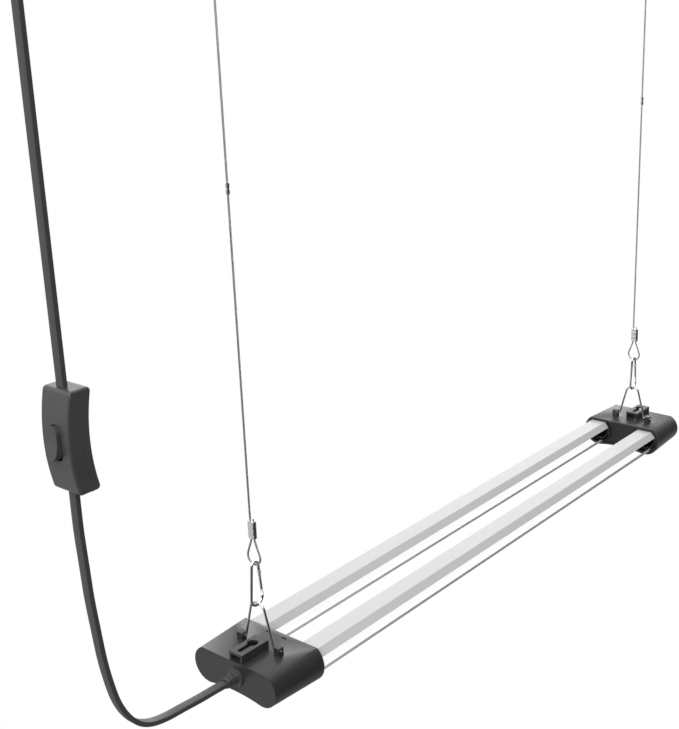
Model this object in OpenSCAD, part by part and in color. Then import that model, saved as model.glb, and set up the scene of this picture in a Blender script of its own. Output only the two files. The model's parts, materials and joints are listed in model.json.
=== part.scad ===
// Hanging LED grow light bar: two tubes between moulded end caps, hung on two steel cables.
// The origin is where the near screw hook enters the ceiling. +X runs along the light, +Z is up.

/* [Light bar] */
// Length of the light from end face to end face
light_l = 610; // [420:10:900]
// Distance between the axes of the two tubes
tube_pitch = 52; // [46:1:64]
// Outer diameter of a tube, housing and cover together
tube_d = 24.6; // [23:0.2:27]
// Width of the flat on top of a tube housing
housing_flat_w = 14.4; // [10:0.2:16]
// Height of the seam between housing and cover above the tube's axis
seam_h = 4.5; // [3.5:0.1:5]
// Wall of the aluminium housing
housing_wall = 1.2; // [0.8:0.1:1.6]
// Wall of the clear cover
cover_wall = 1; // [0.8:0.1:1.4]
// Distance between neighbouring light emitting diodes
led_pitch = 15; // [8:0.5:30]

/* [End caps] */
// Length of an end cap along the light
cap_l = 48; // [44:1:60]
// Wall of an end cap
cap_wall = 1.8; // [1.4:0.1:2.4]
// Wall at the closed end of a cap
cap_end_wall = 2.4; // [1.8:0.1:3]
// How much the cap's radius draws in towards its closed end
cap_draft = 2; // [0:0.1:3]
// Height of the cap's flat top above the tubes' axes
cap_top_h = 12.5; // [12:0.1:13.5]
// Rise of the shallow arch between the two lobes below
arch_rise = 2.4; // [1:0.1:4]
// How far the socket plate lies back from the cap's rim
plate_inset = 1.5; // [0.5:0.1:3]
// Thickness of the socket plate
plate_t = 2.5; // [2:0.1:4]
// Wall of the collar round each tube
collar_t = 1.1; // [0.8:0.1:1.6]

/* [Keyhole bridges] */
// Length of the raised keyhole bridge
bridge_l = 26.5; // [24:0.5:30]
// Width of the bridge
bridge_w = 12.6; // [11:0.2:16]
// Height of the bridge above the cap
bridge_h = 6.6; // [6.2:0.1:8]
// Thickness of the bridge's top
bridge_t = 1.8; // [1.4:0.1:2.2]
// Diameter of the round end of the keyhole
keyhole_d = 8; // [6.5:0.5:9]
// Width of the keyhole's slot
keyslot_w = 3.6; // [3:0.2:5]

/* [Hanging] */
// Height of the ceiling above the tubes' axes
drop = 550; // [500:10:800]
// Distance of the near hanger from the feed cap's end face
near_hang_x = 25; // [22:1:36]
// Distance of the far hanger from the plain cap's end face
far_hang_x = 30; // [22:1:36]
// Sideways place of hangers, bridges and cord entry from the middle of the light
hang_y = -2; // [-4:0.5:4]
// Distance between the two lugs of a cap
lug_pitch = 36; // [30:1:44]
// Side of a lug
lug_w = 5; // [4:0.2:6]
// Height of a lug above the cap
lug_h = 6.4; // [5.5:0.1:8]
// Diameter of the bail's wire
bail_d = 1.8; // [1.4:0.1:2.2]
// Height of the bail's top above the lug holes
bail_h = 32.5; // [26:0.5:44]
// Height of the snap hook
hook_h = 35; // [31:1:44]
// Diameter of the snap hook's wire
hook_d = 2; // [1.8:0.1:2.4]
// Diameter of the steel cable
cable_d = 1.5; // [1:0.1:2]
// Height of the crimped joint in the cable above the tubes' axes
joint_h = 333; // [200:1:400]
// Length of a crimped ferrule
ferrule_l = 13; // [8:1:18]
// Diameter of the ceiling hook's rod
rod_d = 3.5; // [3:0.1:4.5]
// Length of the ceiling hook's screw
screw_l = 20; // [14:1:30]

/* [Cord and switch] */
// Width of the flat cord
cord_w = 6.4; // [5:0.2:7]
// Thickness of the flat cord
cord_t = 3.4; // [3:0.2:4.4]
// Diameter of the gland's flange
gland_flange_d = 14; // [11:0.5:16]
// Length of the gland outside its flange
gland_neck_l = 9; // [6:0.5:14]
// Height of the switch along the cord
switch_h = 62.5; // [60:0.5:80]
// Width of the switch
switch_w = 25; // [20:0.5:28]
// Depth of the switch from front to back
switch_depth = 15.5; // [15:0.5:22]
// Radius of the switch's curved faces
switch_curve_r = 120; // [80:5:200]
// Length of the rocker
rocker_l = 20.5; // [16:0.5:24]
// Width of the rocker
rocker_w = 10; // [8:0.2:11]
// Width of the plug's body
plug_w = 22; // [20:1:28]
// Length of the plug's body
plug_l = 28; // [24:1:36]

/* [Hidden] */
$fn = 48;

// Shared clearances: a cut's overrun, a snug fit, a turning fit and a resting gap
over = 1;
fit = 0.2;
turn_fit = 0.08;
seat = 0.1;
// Gap that stays round pieces that move past each other
pass_gap = 0.3;
// How much fuller a wire is in its bends, and how far its straight stretches reach into them
fuller = 0.05;
tuck = 0.3;

tube_r = tube_d / 2;
half_pitch = tube_pitch / 2;
hanger_pitch = light_l - near_hang_x - far_hang_x;

// End cap
lobe_r = tube_r + fit + collar_t + seat + cap_wall;
end_r = lobe_r - cap_draft;
cap_w = tube_pitch + 2 * lobe_r;
arch_s = (half_pitch * half_pitch + arch_rise * arch_rise) / (2 * arch_rise);
plate_x = cap_l - plate_inset - plate_t;
collar_proud = 0.6;
stop_lip = 1.4;
stop_t = 0.9;
latch_w = 4;
latch_l = 1.6;
latch_y = 7.7;
latch_x = plate_x - latch_l / 2 + fit;
latch_t = 1.4;
latch_recess = 0.5;

// Keyhole bridge
bridge_wall = 1.6;
near_bridge_x = 0.8;
far_bridge_x = 3;
keyhole_x = 17.2;
keyslot_x = 4.8;

// Lugs and bail
lug_hole_drop = 2.6;
lug_z = cap_top_h + lug_h - lug_hole_drop;
bail_r = bail_d / 2;
bail_top_r = 6.8;
bail_foot_r = 2;
bail_foot_proud = 1.2;

// Snap hook
hook_r = hook_d / 2;
bowl_r = 5.4;
eye_r = 3.2;
hinge_l = 6;
nose_l = 4;
tongue_t = 0.8;
tongue_share = 0.85;
gate_gap = 0.15;
gate_cheek_t = 0.6;
gate_pin_r = 0.5;
catch_l = 1.4;
hook_z = lug_z + bail_h - bail_d - seat - hook_d;
bowl_y = hook_r + bowl_r;
eye_y = hook_h - hook_r - eye_r;
hook_lean = asin((bowl_r - eye_r) / (eye_y - bowl_y));
side_l = (eye_y - bowl_y) * cos(hook_lean);
gate_l = side_l - hinge_l - nose_l;
gate_place = [eye_r * cos(hook_lean) + hinge_l * sin(hook_lean),
              eye_y + eye_r * sin(hook_lean) - hinge_l * cos(hook_lean)];

// Cable and ferrules
cable_r = cable_d / 2;
loop_r = 5.9;
loop_rise = 14;
strand_x = 1.5;
tail_proud = 1.5;
cable_bend_r = 8;
low_loop_z = hook_z + hook_h - hook_d - seat - cable_r + loop_r;
ferrule_wall = 1.2;
joint_l = 3;
joint_gap = 1;
joint_wall = 0.65;

// Ceiling hook
rod_r = rod_d / 2;
ceiling_hook_r = 6.5;
ceiling_bend_r = 5;
ceiling_hook_drop = 18;
screw_tip_l = 4;
screw_tip_r = 0.4;
hook_sweep = 250;
high_loop_z = drop - ceiling_hook_drop - ceiling_hook_r + rod_r + pass_gap + cable_r - loop_r;

// Tube: housing, keel, cover, board and diodes
tube_x = plate_x + stop_t + seat;
tube_l = light_l - 2 * tube_x;
flat_z = sqrt(tube_r * tube_r - housing_flat_w * housing_flat_w / 4);
seam_w = sqrt(tube_r * tube_r - seam_h * seam_h);
keel_w = 8.4;
keel_h = 2.4;
groove_h = 1.2;
groove_deep = 0.9;
lip_t = 0.9;
lip_gap = 0.15;
board_w = 12;
board_t = 1;
board_end_gap = 2;
board_z = seam_h - keel_h - board_t;
led_w = 3;
led_l = 3.5;
led_t = 0.8;
led_margin = 9;

// Driver in the feed cap
driver_l = 32;
driver_w = 58;
driver_t = 1.6;
driver_x = 7;
driver_z = -6.5;
ledge_pitch = 36;
ledge_w = 3;
ledge_h = 3;
ledge_short = 4;
edge_inset = 4;
transformer_l = 17;
transformer_w = 16;
transformer_h = 13;
capacitor_r = 4;
capacitor_h = 12;
capacitor_pitch = 10;
wire_r = 0.6;
wire_gap = 3;
wire_lift = 2;
wire_bend_r = 2;

// Gland
gland_z = 1;
gland_shank_r = 4.6;
gland_tip_r = 3.9;
gland_flange_t = 1.8;
gland_lock_t = 1.6;
gland_lock_r = 5.8;
gland_groove = 0.7;
gland_groove_l = 1;
gland_grooves = 3;

// Switch
switch_x = -111.8;
switch_z = 215;
cord_x = -115;
switch_wall = 2;
switch_round = 2.5;
switch_split = 9.5;
switch_sag = switch_curve_r - sqrt(switch_curve_r * switch_curve_r - switch_h * switch_h / 4);
rocker_tilt = 7;
rocker_proud = 2.6;
rocker_deep = 3.2;
rocker_core = 1.4;
rocker_gap = 0.8;
rocker_side_gap = 0.3;
trunnion_r = 1;
trunnion_l = 1.8;
ear_t = 1.8;
ear_w = 5;
ear_deep = 5;
contact_w = 4;
contact_l = 9;
contact_t = 1.2;
contact_y = 4;
contact_z = 13;
switch_screw_z = 24;
switch_screw_r = 1.1;
switch_screw_head_r = 2.2;
switch_screw_head_t = 1.2;
switch_boss_r = 2.6;

// Cord route in the hanging plane, as places along X and above the tubes' axes
gland_end_x = -gland_flange_t - gland_neck_l;
lower_route = concat(
    [[gland_end_x, gland_z]],
    [[-20, 1.5], [-35, 2], [-50, 3], [-65, 4], [-78, 7], [-88, 13], [-96, 23], [-102, 36], [-106, 52],
     [-109, 70], [-111, 90], [-113, 112], [-114, 134], [cord_x, 158]],
    [[cord_x, switch_z - switch_h / 2]]);
coil_z = 505;
coil_out_r = 36;
coil_x = cord_x - coil_out_r;
coil_step = 5.5;
coil_layer = 7.6;
coil_turns = 6.5;
coil_rings = 24;
coil_lead = 5;
coil_tail = 26;
upper_route = concat(
    [[cord_x, switch_z + switch_h / 2]],
    [for (z = [262, 290, 320, 350, 380, 410, 440, 470]) [cord_x, z]],
    [[coil_x + coil_out_r, coil_z - coil_lead]]);
cord_corner_share = 0.22;

// Plug, on the coil's straight tail
plug_x = coil_x - coil_out_r;
plug_z = coil_z - coil_tail;
plug_t = 14;
plug_neck_l = 14;
plug_round = 4;
blade_w = 6.3;
blade_t = 1.5;
blade_l = 17;
blade_pitch = 12.7;
blade_hole_r = 1.6;
blade_hole_drop = 4;

// Strap round the coil
tie_l = 10;
tie_t = 1;

// Colours, as photographed
black = [0.15, 0.15, 0.16];
soft_black = [0.2, 0.2, 0.21];
steel = [0.75, 0.75, 0.77];
alloy = [0.85, 0.86, 0.87];
clear = [0.9, 0.92, 0.94, 0.35];

function cap_r(x) = end_r + (lobe_r - end_r) * x / cap_l;

// Straight stretch of wire in the drawing plane, which reaches into the bends at its ends
module bar(p, q, r, into_p = tuck, into_q = tuck) {
    d = q - p;
    translate([p.x, p.y, 0])
        rotate([0, 0, atan2(d.y, d.x)])
            translate([-into_p, 0, 0])
                rotate([0, 90, 0])
                    cylinder(h = norm(d) + into_p + into_q, r = r);
}

// Wire bent along an arc of the drawing plane
module bend(c, radius, from, sweep, r) {
    translate([c.x, c.y, 0])
        rotate([0, 0, from])
            rotate_extrude(angle = sweep)
                translate([radius, 0])
                    circle(r = r);
}

// Drawing plane set upright across the light, or upright along it
module across() {
    rotate([90, 0, 90])
        children();
}

module along() {
    rotate([90, 0, 0])
        children();
}

// From the light's own frame, on the tubes' axes at the feed end, to the ceiling hook's
module hung() {
    translate([-near_hang_x, -hang_y, -drop])
        children();
}

// At the near or the far hanger, on the tubes' axes
module at_hanger(far) {
    translate([far ? hanger_pitch : 0, 0, -drop])
        children();
}

// End cap

// Twin-lobed body between two places along the cap, drawn in by an inset
module cap_form(inset, x0, x1) {
    difference() {
        union() {
            for (side = [-1, 1])
                translate([x0, side * half_pitch, 0])
                    rotate([0, 90, 0])
                        cylinder(h = x1 - x0, r1 = cap_r(x0) - inset, r2 = cap_r(x1) - inset);
            translate([0, half_pitch, 0])
                along()
                    linear_extrude(height = tube_pitch)
                        polygon([[x0, inset - cap_r(x0)], [x1, inset - cap_r(x1)],
                                 [x1, cap_top_h - inset], [x0, cap_top_h - inset]]);
        }
        translate([x0 - over, -cap_w, cap_top_h - inset])
            cube([x1 - x0 + 2 * over, 2 * cap_w, cap_w]);
        translate([x0 - over, 0, arch_rise - arch_s])
            rotate([0, 90, 0])
                cylinder(h = x1 - x0 + 2 * over, r1 = arch_s - cap_r(x0 - over) + inset,
                         r2 = arch_s - cap_r(x1 + over) + inset, $fn = 4 * $fn);
    }
}

// Outline of the keyhole, from its slot's end to its round end
module keyhole_outline() {
    translate([keyhole_x, 0])
        circle(d = keyhole_d);
    translate([keyslot_x, 0])
        circle(d = keyslot_w);
    translate([keyslot_x, -keyslot_w / 2])
        square([keyhole_x - keyslot_x, keyslot_w]);
}

// Raised bridge, open at both ends, that hooks over a screw's head
module keyhole_bridge() {
    difference() {
        translate([0, -bridge_w / 2, -cap_wall / 2])
            cube([bridge_l, bridge_w, bridge_h + cap_wall / 2]);
        translate([-over, bridge_wall - bridge_w / 2, 0])
            cube([bridge_l + 2 * over, bridge_w - 2 * bridge_wall, bridge_h - bridge_t]);
        linear_extrude(height = bridge_h + over)
            keyhole_outline();
    }
}

// Two lugs with a cross hole for the bail's feet
module lugs(clearance) {
    difference() {
        for (side = [-1, 1])
            translate([-lug_w / 2, side * lug_pitch / 2 - lug_w / 2, cap_top_h - cap_wall / 2])
                cube([lug_w, lug_w, lug_h + cap_wall / 2]);
        translate([0, lug_pitch, lug_z])
            rotate([90, 0, 0])
                cylinder(h = 2 * lug_pitch, r = bail_r + clearance);
    }
}

// Cap shell with its closed end at x = 0 and its rim towards +X
module cap_shell(lug_x, clearance) {
    difference() {
        cap_form(0, 0, cap_l);
        cap_form(cap_wall, cap_end_wall, cap_l + over);
        for (side = [-1, 1])
            translate([latch_x - latch_l / 2, side * latch_y - latch_w / 2, cap_top_h - 2 * cap_wall])
                cube([latch_l, latch_w, 3 * cap_wall]);
    }
    translate([lug_x, hang_y, 0])
        lugs(clearance);
}

// Cap that takes the cord, with ledges for the driver inside
module feed_end_cap() {
    color(black)
        difference() {
            union() {
                cap_shell(near_hang_x, turn_fit);
                translate([near_bridge_x, hang_y, cap_top_h])
                    keyhole_bridge();
                driver_ledges();
            }
            translate([-over, hang_y, gland_z])
                rotate([0, 90, 0])
                    cylinder(h = cap_end_wall + 2 * over, r = gland_shank_r + fit);
        }
}

// Cap at the far end, mirrored, with its keyhole turned the same way as the first
module plain_end_cap() {
    color(black)
        union() {
            translate([light_l, 0, 0])
                mirror([1, 0, 0])
                    cap_shell(far_hang_x, pass_gap);
            translate([light_l - far_bridge_x - bridge_l, hang_y, cap_top_h])
                keyhole_bridge();
        }
}

// Two ledges on the end wall that carry the driver
module driver_ledges() {
    for (side = [-1, 1])
        translate([cap_end_wall / 2, side * ledge_pitch / 2 - ledge_w / 2, driver_z - ledge_h])
            cube([driver_x + driver_l - ledge_short - cap_end_wall / 2, ledge_w, ledge_h]);
}

// Plate that closes a cap, holds both tubes in collars and snaps into the cap's two slots
module socket_plate() {
    inner = cap_wall + seat;
    difference() {
        union() {
            cap_form(inner, plate_x, plate_x + plate_t);
            intersection() {
                cap_form(inner, plate_x, cap_l + collar_proud);
                for (side = [-1, 1])
                    translate([plate_x, side * half_pitch, 0])
                        rotate([0, 90, 0])
                            cylinder(h = cap_l - plate_x + collar_proud, r = tube_r + fit + collar_t);
            }
            for (side = [-1, 1]) {
                translate([latch_x - latch_l / 2 - fit, side * latch_y - latch_w / 2 + fit,
                           cap_top_h - inner - latch_t])
                    cube([plate_x - latch_x + latch_l / 2 + 2 * fit, latch_w - 2 * fit, latch_t]);
                translate([latch_x - latch_l / 2 + fit, side * latch_y - latch_w / 2 + fit,
                           cap_top_h - inner - latch_t])
                    cube([latch_l - 2 * fit, latch_w - 2 * fit, latch_t + inner - latch_recess]);
            }
        }
        for (side = [-1, 1]) {
            translate([plate_x + stop_t, side * half_pitch, 0])
                rotate([0, 90, 0])
                    intersection() {
                        cylinder(h = cap_l, r = tube_r + fit);
                        translate([-flat_z - fit, -tube_d, 0])
                            cube([2 * tube_d, 2 * tube_d, cap_l]);
                    }
            translate([plate_x - over, side * half_pitch, 0])
                rotate([0, 90, 0])
                    cylinder(h = plate_t + 2 * over, r = flat_z - stop_lip);
        }
    }
}

module feed_socket_plate() {
    color(soft_black)
        socket_plate();
}

module plain_socket_plate() {
    color(soft_black)
        translate([light_l, 0, 0])
            mirror([1, 0, 0])
                socket_plate();
}

// Tubes

module at_tube(side) {
    translate([tube_x, side * half_pitch, 0])
        children();
}

// Extruded housing: faceted top, closed channel, and a grooved keel that carries board and cover
module housing() {
    slope = (seam_w - housing_flat_w / 2) / (flat_z - seam_h);
    low_z = seam_h + housing_wall;
    high_z = flat_z - housing_wall;
    inner_low = seam_w - slope * housing_wall - housing_wall * sqrt(1 + slope * slope);
    inner_high = inner_low - slope * (high_z - low_z);
    color(alloy)
        across()
            linear_extrude(height = tube_l)
                difference() {
                    polygon([[-seam_w, seam_h], [-keel_w, seam_h], [-keel_w, seam_h - keel_h],
                             [keel_w, seam_h - keel_h], [keel_w, seam_h], [seam_w, seam_h],
                             [housing_flat_w / 2, flat_z], [-housing_flat_w / 2, flat_z]]);
                    polygon([[-inner_low, low_z], [inner_low, low_z], [inner_high, high_z], [-inner_high, high_z]]);
                    for (side = [-1, 1])
                        translate([side * keel_w, seam_h - groove_h / 2])
                            square([2 * groove_deep, groove_h], center = true);
                }
}

// Clear round cover whose two lips slide in the keel's grooves
module clear_cover() {
    color(clear)
        across()
            linear_extrude(height = tube_l) {
                difference() {
                    circle(r = tube_r, $fn = 2 * $fn);
                    circle(r = tube_r - cover_wall, $fn = 2 * $fn);
                    translate([-tube_d, seam_h - lip_gap])
                        square([2 * tube_d, tube_d]);
                }
                for (side = [-1, 1])
                    translate([side > 0 ? keel_w - groove_deep + lip_gap : -seam_w + cover_wall / 2,
                               seam_h - lip_gap - lip_t])
                        square([seam_w - cover_wall / 2 - keel_w + groove_deep - lip_gap, lip_t]);
            }
}

module led_board() {
    color("white")
        translate([board_end_gap, -board_w / 2, board_z])
            cube([tube_l - 2 * board_end_gap, board_w, board_t]);
}

module leds() {
    run = tube_l - 2 * led_margin;
    count = floor(run / led_pitch);
    start = led_margin + (run - count * led_pitch) / 2;
    color("khaki")
        for (i = [0 : count])
            translate([start + i * led_pitch - led_l / 2, -led_w / 2, board_z - led_t])
                cube([led_l, led_w, led_t]);
}

// Driver

module driver_board() {
    color("darkgreen")
        translate([driver_x, -driver_w / 2, driver_z])
            cube([driver_l, driver_w, driver_t]);
}

module driver_transformer() {
    color("goldenrod")
        translate([driver_x + edge_inset, -driver_w / 2 + edge_inset, driver_z + driver_t])
            cube([transformer_l, transformer_w, transformer_h]);
}

module driver_capacitors() {
    color("slategray")
        for (i = [0 : 1])
            translate([driver_x + driver_l - edge_inset - capacitor_r,
                       i * capacitor_pitch + capacitor_r, driver_z + driver_t])
                cylinder(h = capacitor_h, r = capacitor_r);
}

// Two leads to each board, and two from the gland to the driver, each with one bend
module lead_wires() {
    lift_z = board_z - wire_r;
    low_z = driver_z + driver_t;
    out_x = driver_x + driver_l - wire_gap;
    in_x = driver_x + wire_lift;
    color("firebrick") {
        for (side = [-1, 1], i = [-1, 1])
            translate([0, side * (driver_w / 2 - edge_inset) + i * wire_gap / 2, 0])
                lead([out_x, low_z], [tube_x + board_end_gap + wire_lift, lift_z]);
        for (i = [-1, 1])
            translate([0, hang_y + i * wire_gap / 2, 0])
                lead([in_x, low_z], [cap_end_wall + gland_lock_t, gland_z]);
    }
}

// Lead that rises from a place and bends over towards another
module lead(from, to) {
    way = sign(to.x - from.x);
    c = [from.x + way * wire_bend_r, to.y - wire_bend_r];
    along() {
        bar(from, [from.x, c.y], wire_r, 0, tuck);
        bend(c, wire_bend_r, way > 0 ? 90 : 0, 90, wire_r + fuller);
        bar([c.x, to.y], to, wire_r, tuck, 0);
    }
}

// Gland, switch, plug and cord

// Ribbed strain relief that clips into the feed cap's end wall
module cord_gland() {
    rib_l = gland_neck_l / (gland_grooves + 1);
    color(black)
        translate([0, hang_y, gland_z])
            rotate([0, 90, 0])
                difference() {
                    union() {
                        translate([0, 0, -gland_flange_t])
                            cylinder(h = gland_flange_t, d = gland_flange_d);
                        translate([0, 0, gland_end_x])
                            cylinder(h = gland_neck_l, r1 = gland_tip_r, r2 = gland_shank_r);
                        cylinder(h = cap_end_wall + seat, r = gland_shank_r);
                        translate([0, 0, cap_end_wall + seat])
                            cylinder(h = gland_lock_t - seat, r1 = gland_lock_r, r2 = gland_shank_r);
                    }
                    for (i = [1 : gland_grooves])
                        translate([0, 0, gland_end_x + i * rib_l])
                            difference() {
                                cylinder(h = gland_groove_l, r = gland_flange_d);
                                cylinder(h = gland_groove_l, r = gland_tip_r - gland_groove);
                            }
                }
}

// Side view of the switch: front and back follow one arc, and the corners are rounded
module switch_outline(inset) {
    offset(r = switch_round)
        offset(delta = -switch_round - inset)
            intersection() {
                difference() {
                    translate([switch_curve_r - switch_sag - switch_depth / 2, 0])
                        circle(r = switch_curve_r, $fn = 4 * $fn);
                    translate([switch_curve_r - switch_sag + switch_depth / 2, 0])
                        circle(r = switch_curve_r, $fn = 4 * $fn);
                }
                translate([-switch_curve_r, -switch_h / 2])
                    square([switch_curve_r + switch_depth, switch_h]);
            }
}

// Everything in front of the arc on which the two shells meet, moved back by a gap
module switch_front_side(gap) {
    difference() {
        translate([-switch_curve_r, -switch_h])
            square([2 * switch_curve_r, 2 * switch_h]);
        translate([switch_curve_r - switch_sag - switch_depth / 2 + switch_split + gap, 0])
            circle(r = switch_curve_r, $fn = 4 * $fn);
    }
}

module at_switch() {
    translate([switch_x, hang_y, switch_z])
        children();
}

module slab(width) {
    along()
        translate([0, 0, -width / 2])
            linear_extrude(height = width)
                children();
}

rocker_face_x = -switch_depth / 2 - switch_sag;
rocker_pivot_x = rocker_face_x + rocker_deep;

// Stadium prism that runs along X, for the rocker and its window
module oval_prism(length, width, from_x, to_x) {
    translate([from_x, 0, 0])
        rotate([0, 90, 0])
            linear_extrude(height = to_x - from_x) {
                square([length - width, width], center = true);
                for (side = [-1, 1])
                    translate([side * (length - width) / 2, 0])
                        circle(d = width);
            }
}

module switch_screw_places() {
    for (side = [-1, 1])
        translate([0, 0, side * switch_screw_z])
            children();
}

module switch_front_shell() {
    mid_x = rocker_face_x + switch_split;
    boss_x = rocker_face_x + switch_sag / 2 + switch_wall / 2;
    color(black)
        at_switch() {
            difference() {
                slab(switch_w)
                    intersection() {
                        switch_outline(0);
                        switch_front_side(0);
                    }
                slab(switch_w - 2 * switch_wall)
                    switch_outline(switch_wall);
                oval_prism(rocker_l + 2 * rocker_gap, rocker_w + 2 * rocker_side_gap,
                           rocker_face_x - over, rocker_face_x + 2 * switch_wall);
            }
            difference() {
                for (side = [-1, 1])
                    translate([rocker_face_x + switch_wall / 2,
                               side * (rocker_w / 2 + trunnion_l / 2 + rocker_side_gap) - ear_t / 2, -ear_w / 2])
                        cube([ear_deep, ear_t, ear_w]);
                translate([rocker_pivot_x, switch_w / 2, 0])
                    rotate([90, 0, 0])
                        cylinder(h = switch_w, r = trunnion_r + turn_fit);
            }
            switch_screw_places()
                difference() {
                    translate([boss_x, 0, 0])
                        rotate([0, 90, 0])
                            cylinder(h = mid_x - boss_x, r = switch_boss_r);
                    translate([mid_x - switch_split / 2, 0, 0])
                        rotate([0, 90, 0])
                            cylinder(h = switch_split, r = switch_screw_r + turn_fit);
                }
        }
}

module switch_back_shell() {
    color(black)
        at_switch()
            difference() {
                slab(switch_w)
                    difference() {
                        switch_outline(0);
                        switch_front_side(seat);
                    }
                slab(switch_w - 2 * switch_wall)
                    switch_outline(switch_wall);
                switch_screw_places() {
                    rotate([0, 90, 0])
                        cylinder(h = switch_depth, r = switch_screw_r + fit);
                    translate([switch_screw_seat_x, 0, 0])
                        rotate([0, 90, 0])
                            cylinder(h = switch_depth, r = switch_screw_head_r + fit);
                }
            }
}

// The back wall's hollow face at the height of the screws
switch_back_x = switch_depth / 2 - switch_sag + switch_curve_r
    - sqrt(switch_curve_r * switch_curve_r - switch_screw_z * switch_screw_z);
switch_screw_seat_x = switch_back_x - switch_screw_head_t;

module switch_screws() {
    tip_x = rocker_face_x + switch_split - switch_wall;
    color(steel)
        at_switch()
            switch_screw_places() {
                translate([tip_x, 0, 0])
                    rotate([0, 90, 0])
                        cylinder(h = switch_back_x - seat - tip_x, r = switch_screw_r);
                translate([switch_screw_seat_x + seat, 0, 0])
                    rotate([0, 90, 0])
                        cylinder(h = switch_screw_head_t - seat, r = switch_screw_head_r);
            }
}

// Rocker with a shallow V face, tipped so that its lower end stands out
module switch_rocker() {
    rise = tan(rocker_tilt) * rocker_l / 2;
    color(soft_black)
        at_switch()
            translate([rocker_pivot_x, 0, 0])
                rotate([0, rocker_tilt, 0])
                    translate([-rocker_pivot_x, 0, 0]) {
                        intersection() {
                            slab(rocker_w)
                                polygon([[rocker_face_x - rocker_proud, 0],
                                         [rocker_face_x - rocker_proud - rise, rocker_l / 2],
                                         [rocker_pivot_x - rocker_core, rocker_l / 2],
                                         [rocker_pivot_x + rocker_core, trunnion_r],
                                         [rocker_pivot_x + rocker_core, -trunnion_r],
                                         [rocker_pivot_x - rocker_core, -rocker_l / 2],
                                         [rocker_face_x - rocker_proud - rise, -rocker_l / 2]]);
                            oval_prism(rocker_l, rocker_w, rocker_face_x - switch_depth,
                                       rocker_face_x + switch_depth);
                        }
                        translate([rocker_pivot_x, rocker_w / 2 + trunnion_l, 0])
                            rotate([90, 0, 0])
                                cylinder(h = rocker_w + 2 * trunnion_l, r = trunnion_r);
                    }
}

// Two brass contacts that stand on the back shell's inner wall
module switch_contacts() {
    back_x = switch_depth / 2 - switch_sag + switch_curve_r
        - sqrt(pow(switch_curve_r + switch_wall, 2) - pow(contact_z - contact_t / 2, 2));
    color("goldenrod")
        at_switch()
            for (side = [-1, 1])
                translate([back_x - contact_l / 2 - seat, side * contact_y - contact_w / 2,
                           side * contact_z - contact_t / 2])
                    cube([contact_l / 2, contact_w, contact_t]);
}

// Flat cord's section: width across, thickness in the hanging plane, corners cut
function cord_section() =
    let (w = cord_w / 2, t = cord_t / 2, c = cord_t * cord_corner_share)
    [[w, t - c], [w - c, t], [c - w, t], [-w, t - c], [-w, c - t], [c - w, -t], [w - c, -t], [w, c - t]];

// Ring of section points at a place, square to the cord's direction in the hanging plane
function cord_ring(place, way) =
    let (n = [-way.y, way.x])
    [for (s = cord_section()) [place.x + n.x * s.y, place.z + s.x, place.y + n.y * s.y]];

function unit(v) = v / norm(v);
function flat(places) = [for (p = places) [p.x, p.y, 0]];
function ways(p) =
    let (last = len(p) - 1)
    [for (i = [0 : last]) unit([for (k = [0, 1]) p[min(i + 1, last)][k] - p[max(i - 1, 0)][k]])];

// Sweep of rings as one closed solid; places hold X, Z and the sideways shift
module cord_sweep(p, way) {
    sides = len(cord_section());
    last = len(p) - 1;
    points = [for (i = [0 : last]) each cord_ring(p[i], way[i])];
    faces = concat(
        [[for (k = [0 : sides - 1]) k]],
        [for (i = [0 : last - 1], k = [0 : sides - 1])
            [i * sides + k, (i + 1) * sides + k, (i + 1) * sides + (k + 1) % sides]],
        [for (i = [0 : last - 1], k = [0 : sides - 1])
            [i * sides + k, (i + 1) * sides + (k + 1) % sides, i * sides + (k + 1) % sides]],
        [[for (k = [sides - 1 : -1 : 0]) last * sides + k]]);
    translate([0, hang_y, 0])
        polyhedron(points = points, faces = faces);
}

// Ways of a route whose two ends meet their pieces square on
function route_ways(p, first, last) =
    let (w = ways(p), n = len(p) - 1)
    [for (i = [0 : n]) i == 0 ? first : i == n ? last : w[i]];

module lower_cord() {
    color(black)
        cord_sweep(flat(lower_route), route_ways(lower_route, [-1, 0], [0, 1]));
}

module upper_cord() {
    color(black)
        cord_sweep(flat(upper_route), route_ways(upper_route, [0, 1], [0, 1]));
}

// The coil spirals in and out again, and climbs one layer in the half turn between
function coil_radius(t) = coil_out_r - coil_step * min(t, coil_turns - t);
function ease(s) = s * s * (3 - 2 * s);
function coil_shift(t) = coil_layer * ease(max(0, min(1, 2 * (t - coil_turns / 2) + 1 / 2)));
function coil_place(t) =
    [coil_x + coil_radius(t) * cos(360 * t), coil_z + coil_radius(t) * sin(360 * t), coil_shift(t)];
coil_steps = coil_turns * coil_rings;
coil_turn_places = [for (i = [0 : coil_steps]) coil_place(i / coil_rings)];
coil_places = concat([[coil_x + coil_out_r, coil_z - coil_lead, 0]], coil_turn_places,
                     [[plug_x, plug_z, coil_layer]]);

// Least clear distance between turns that lie beside or over each other
function turn_gap(a, b) = max(abs(a.z - b.z) - cord_w, norm([a.x - b.x, a.y - b.y]) - cord_t);
coil_gap = min([for (i = [0 : coil_steps], j = [i + coil_rings / 2 : coil_steps])
    turn_gap(coil_turn_places[i], coil_turn_places[j])]);
echo(least_gap_in_coil = coil_gap);  // cord_coil

module cord_coil() {
    color(black)
        cord_sweep(coil_places, route_ways(coil_places, [0, 1], [0, -1]));
}

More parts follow.
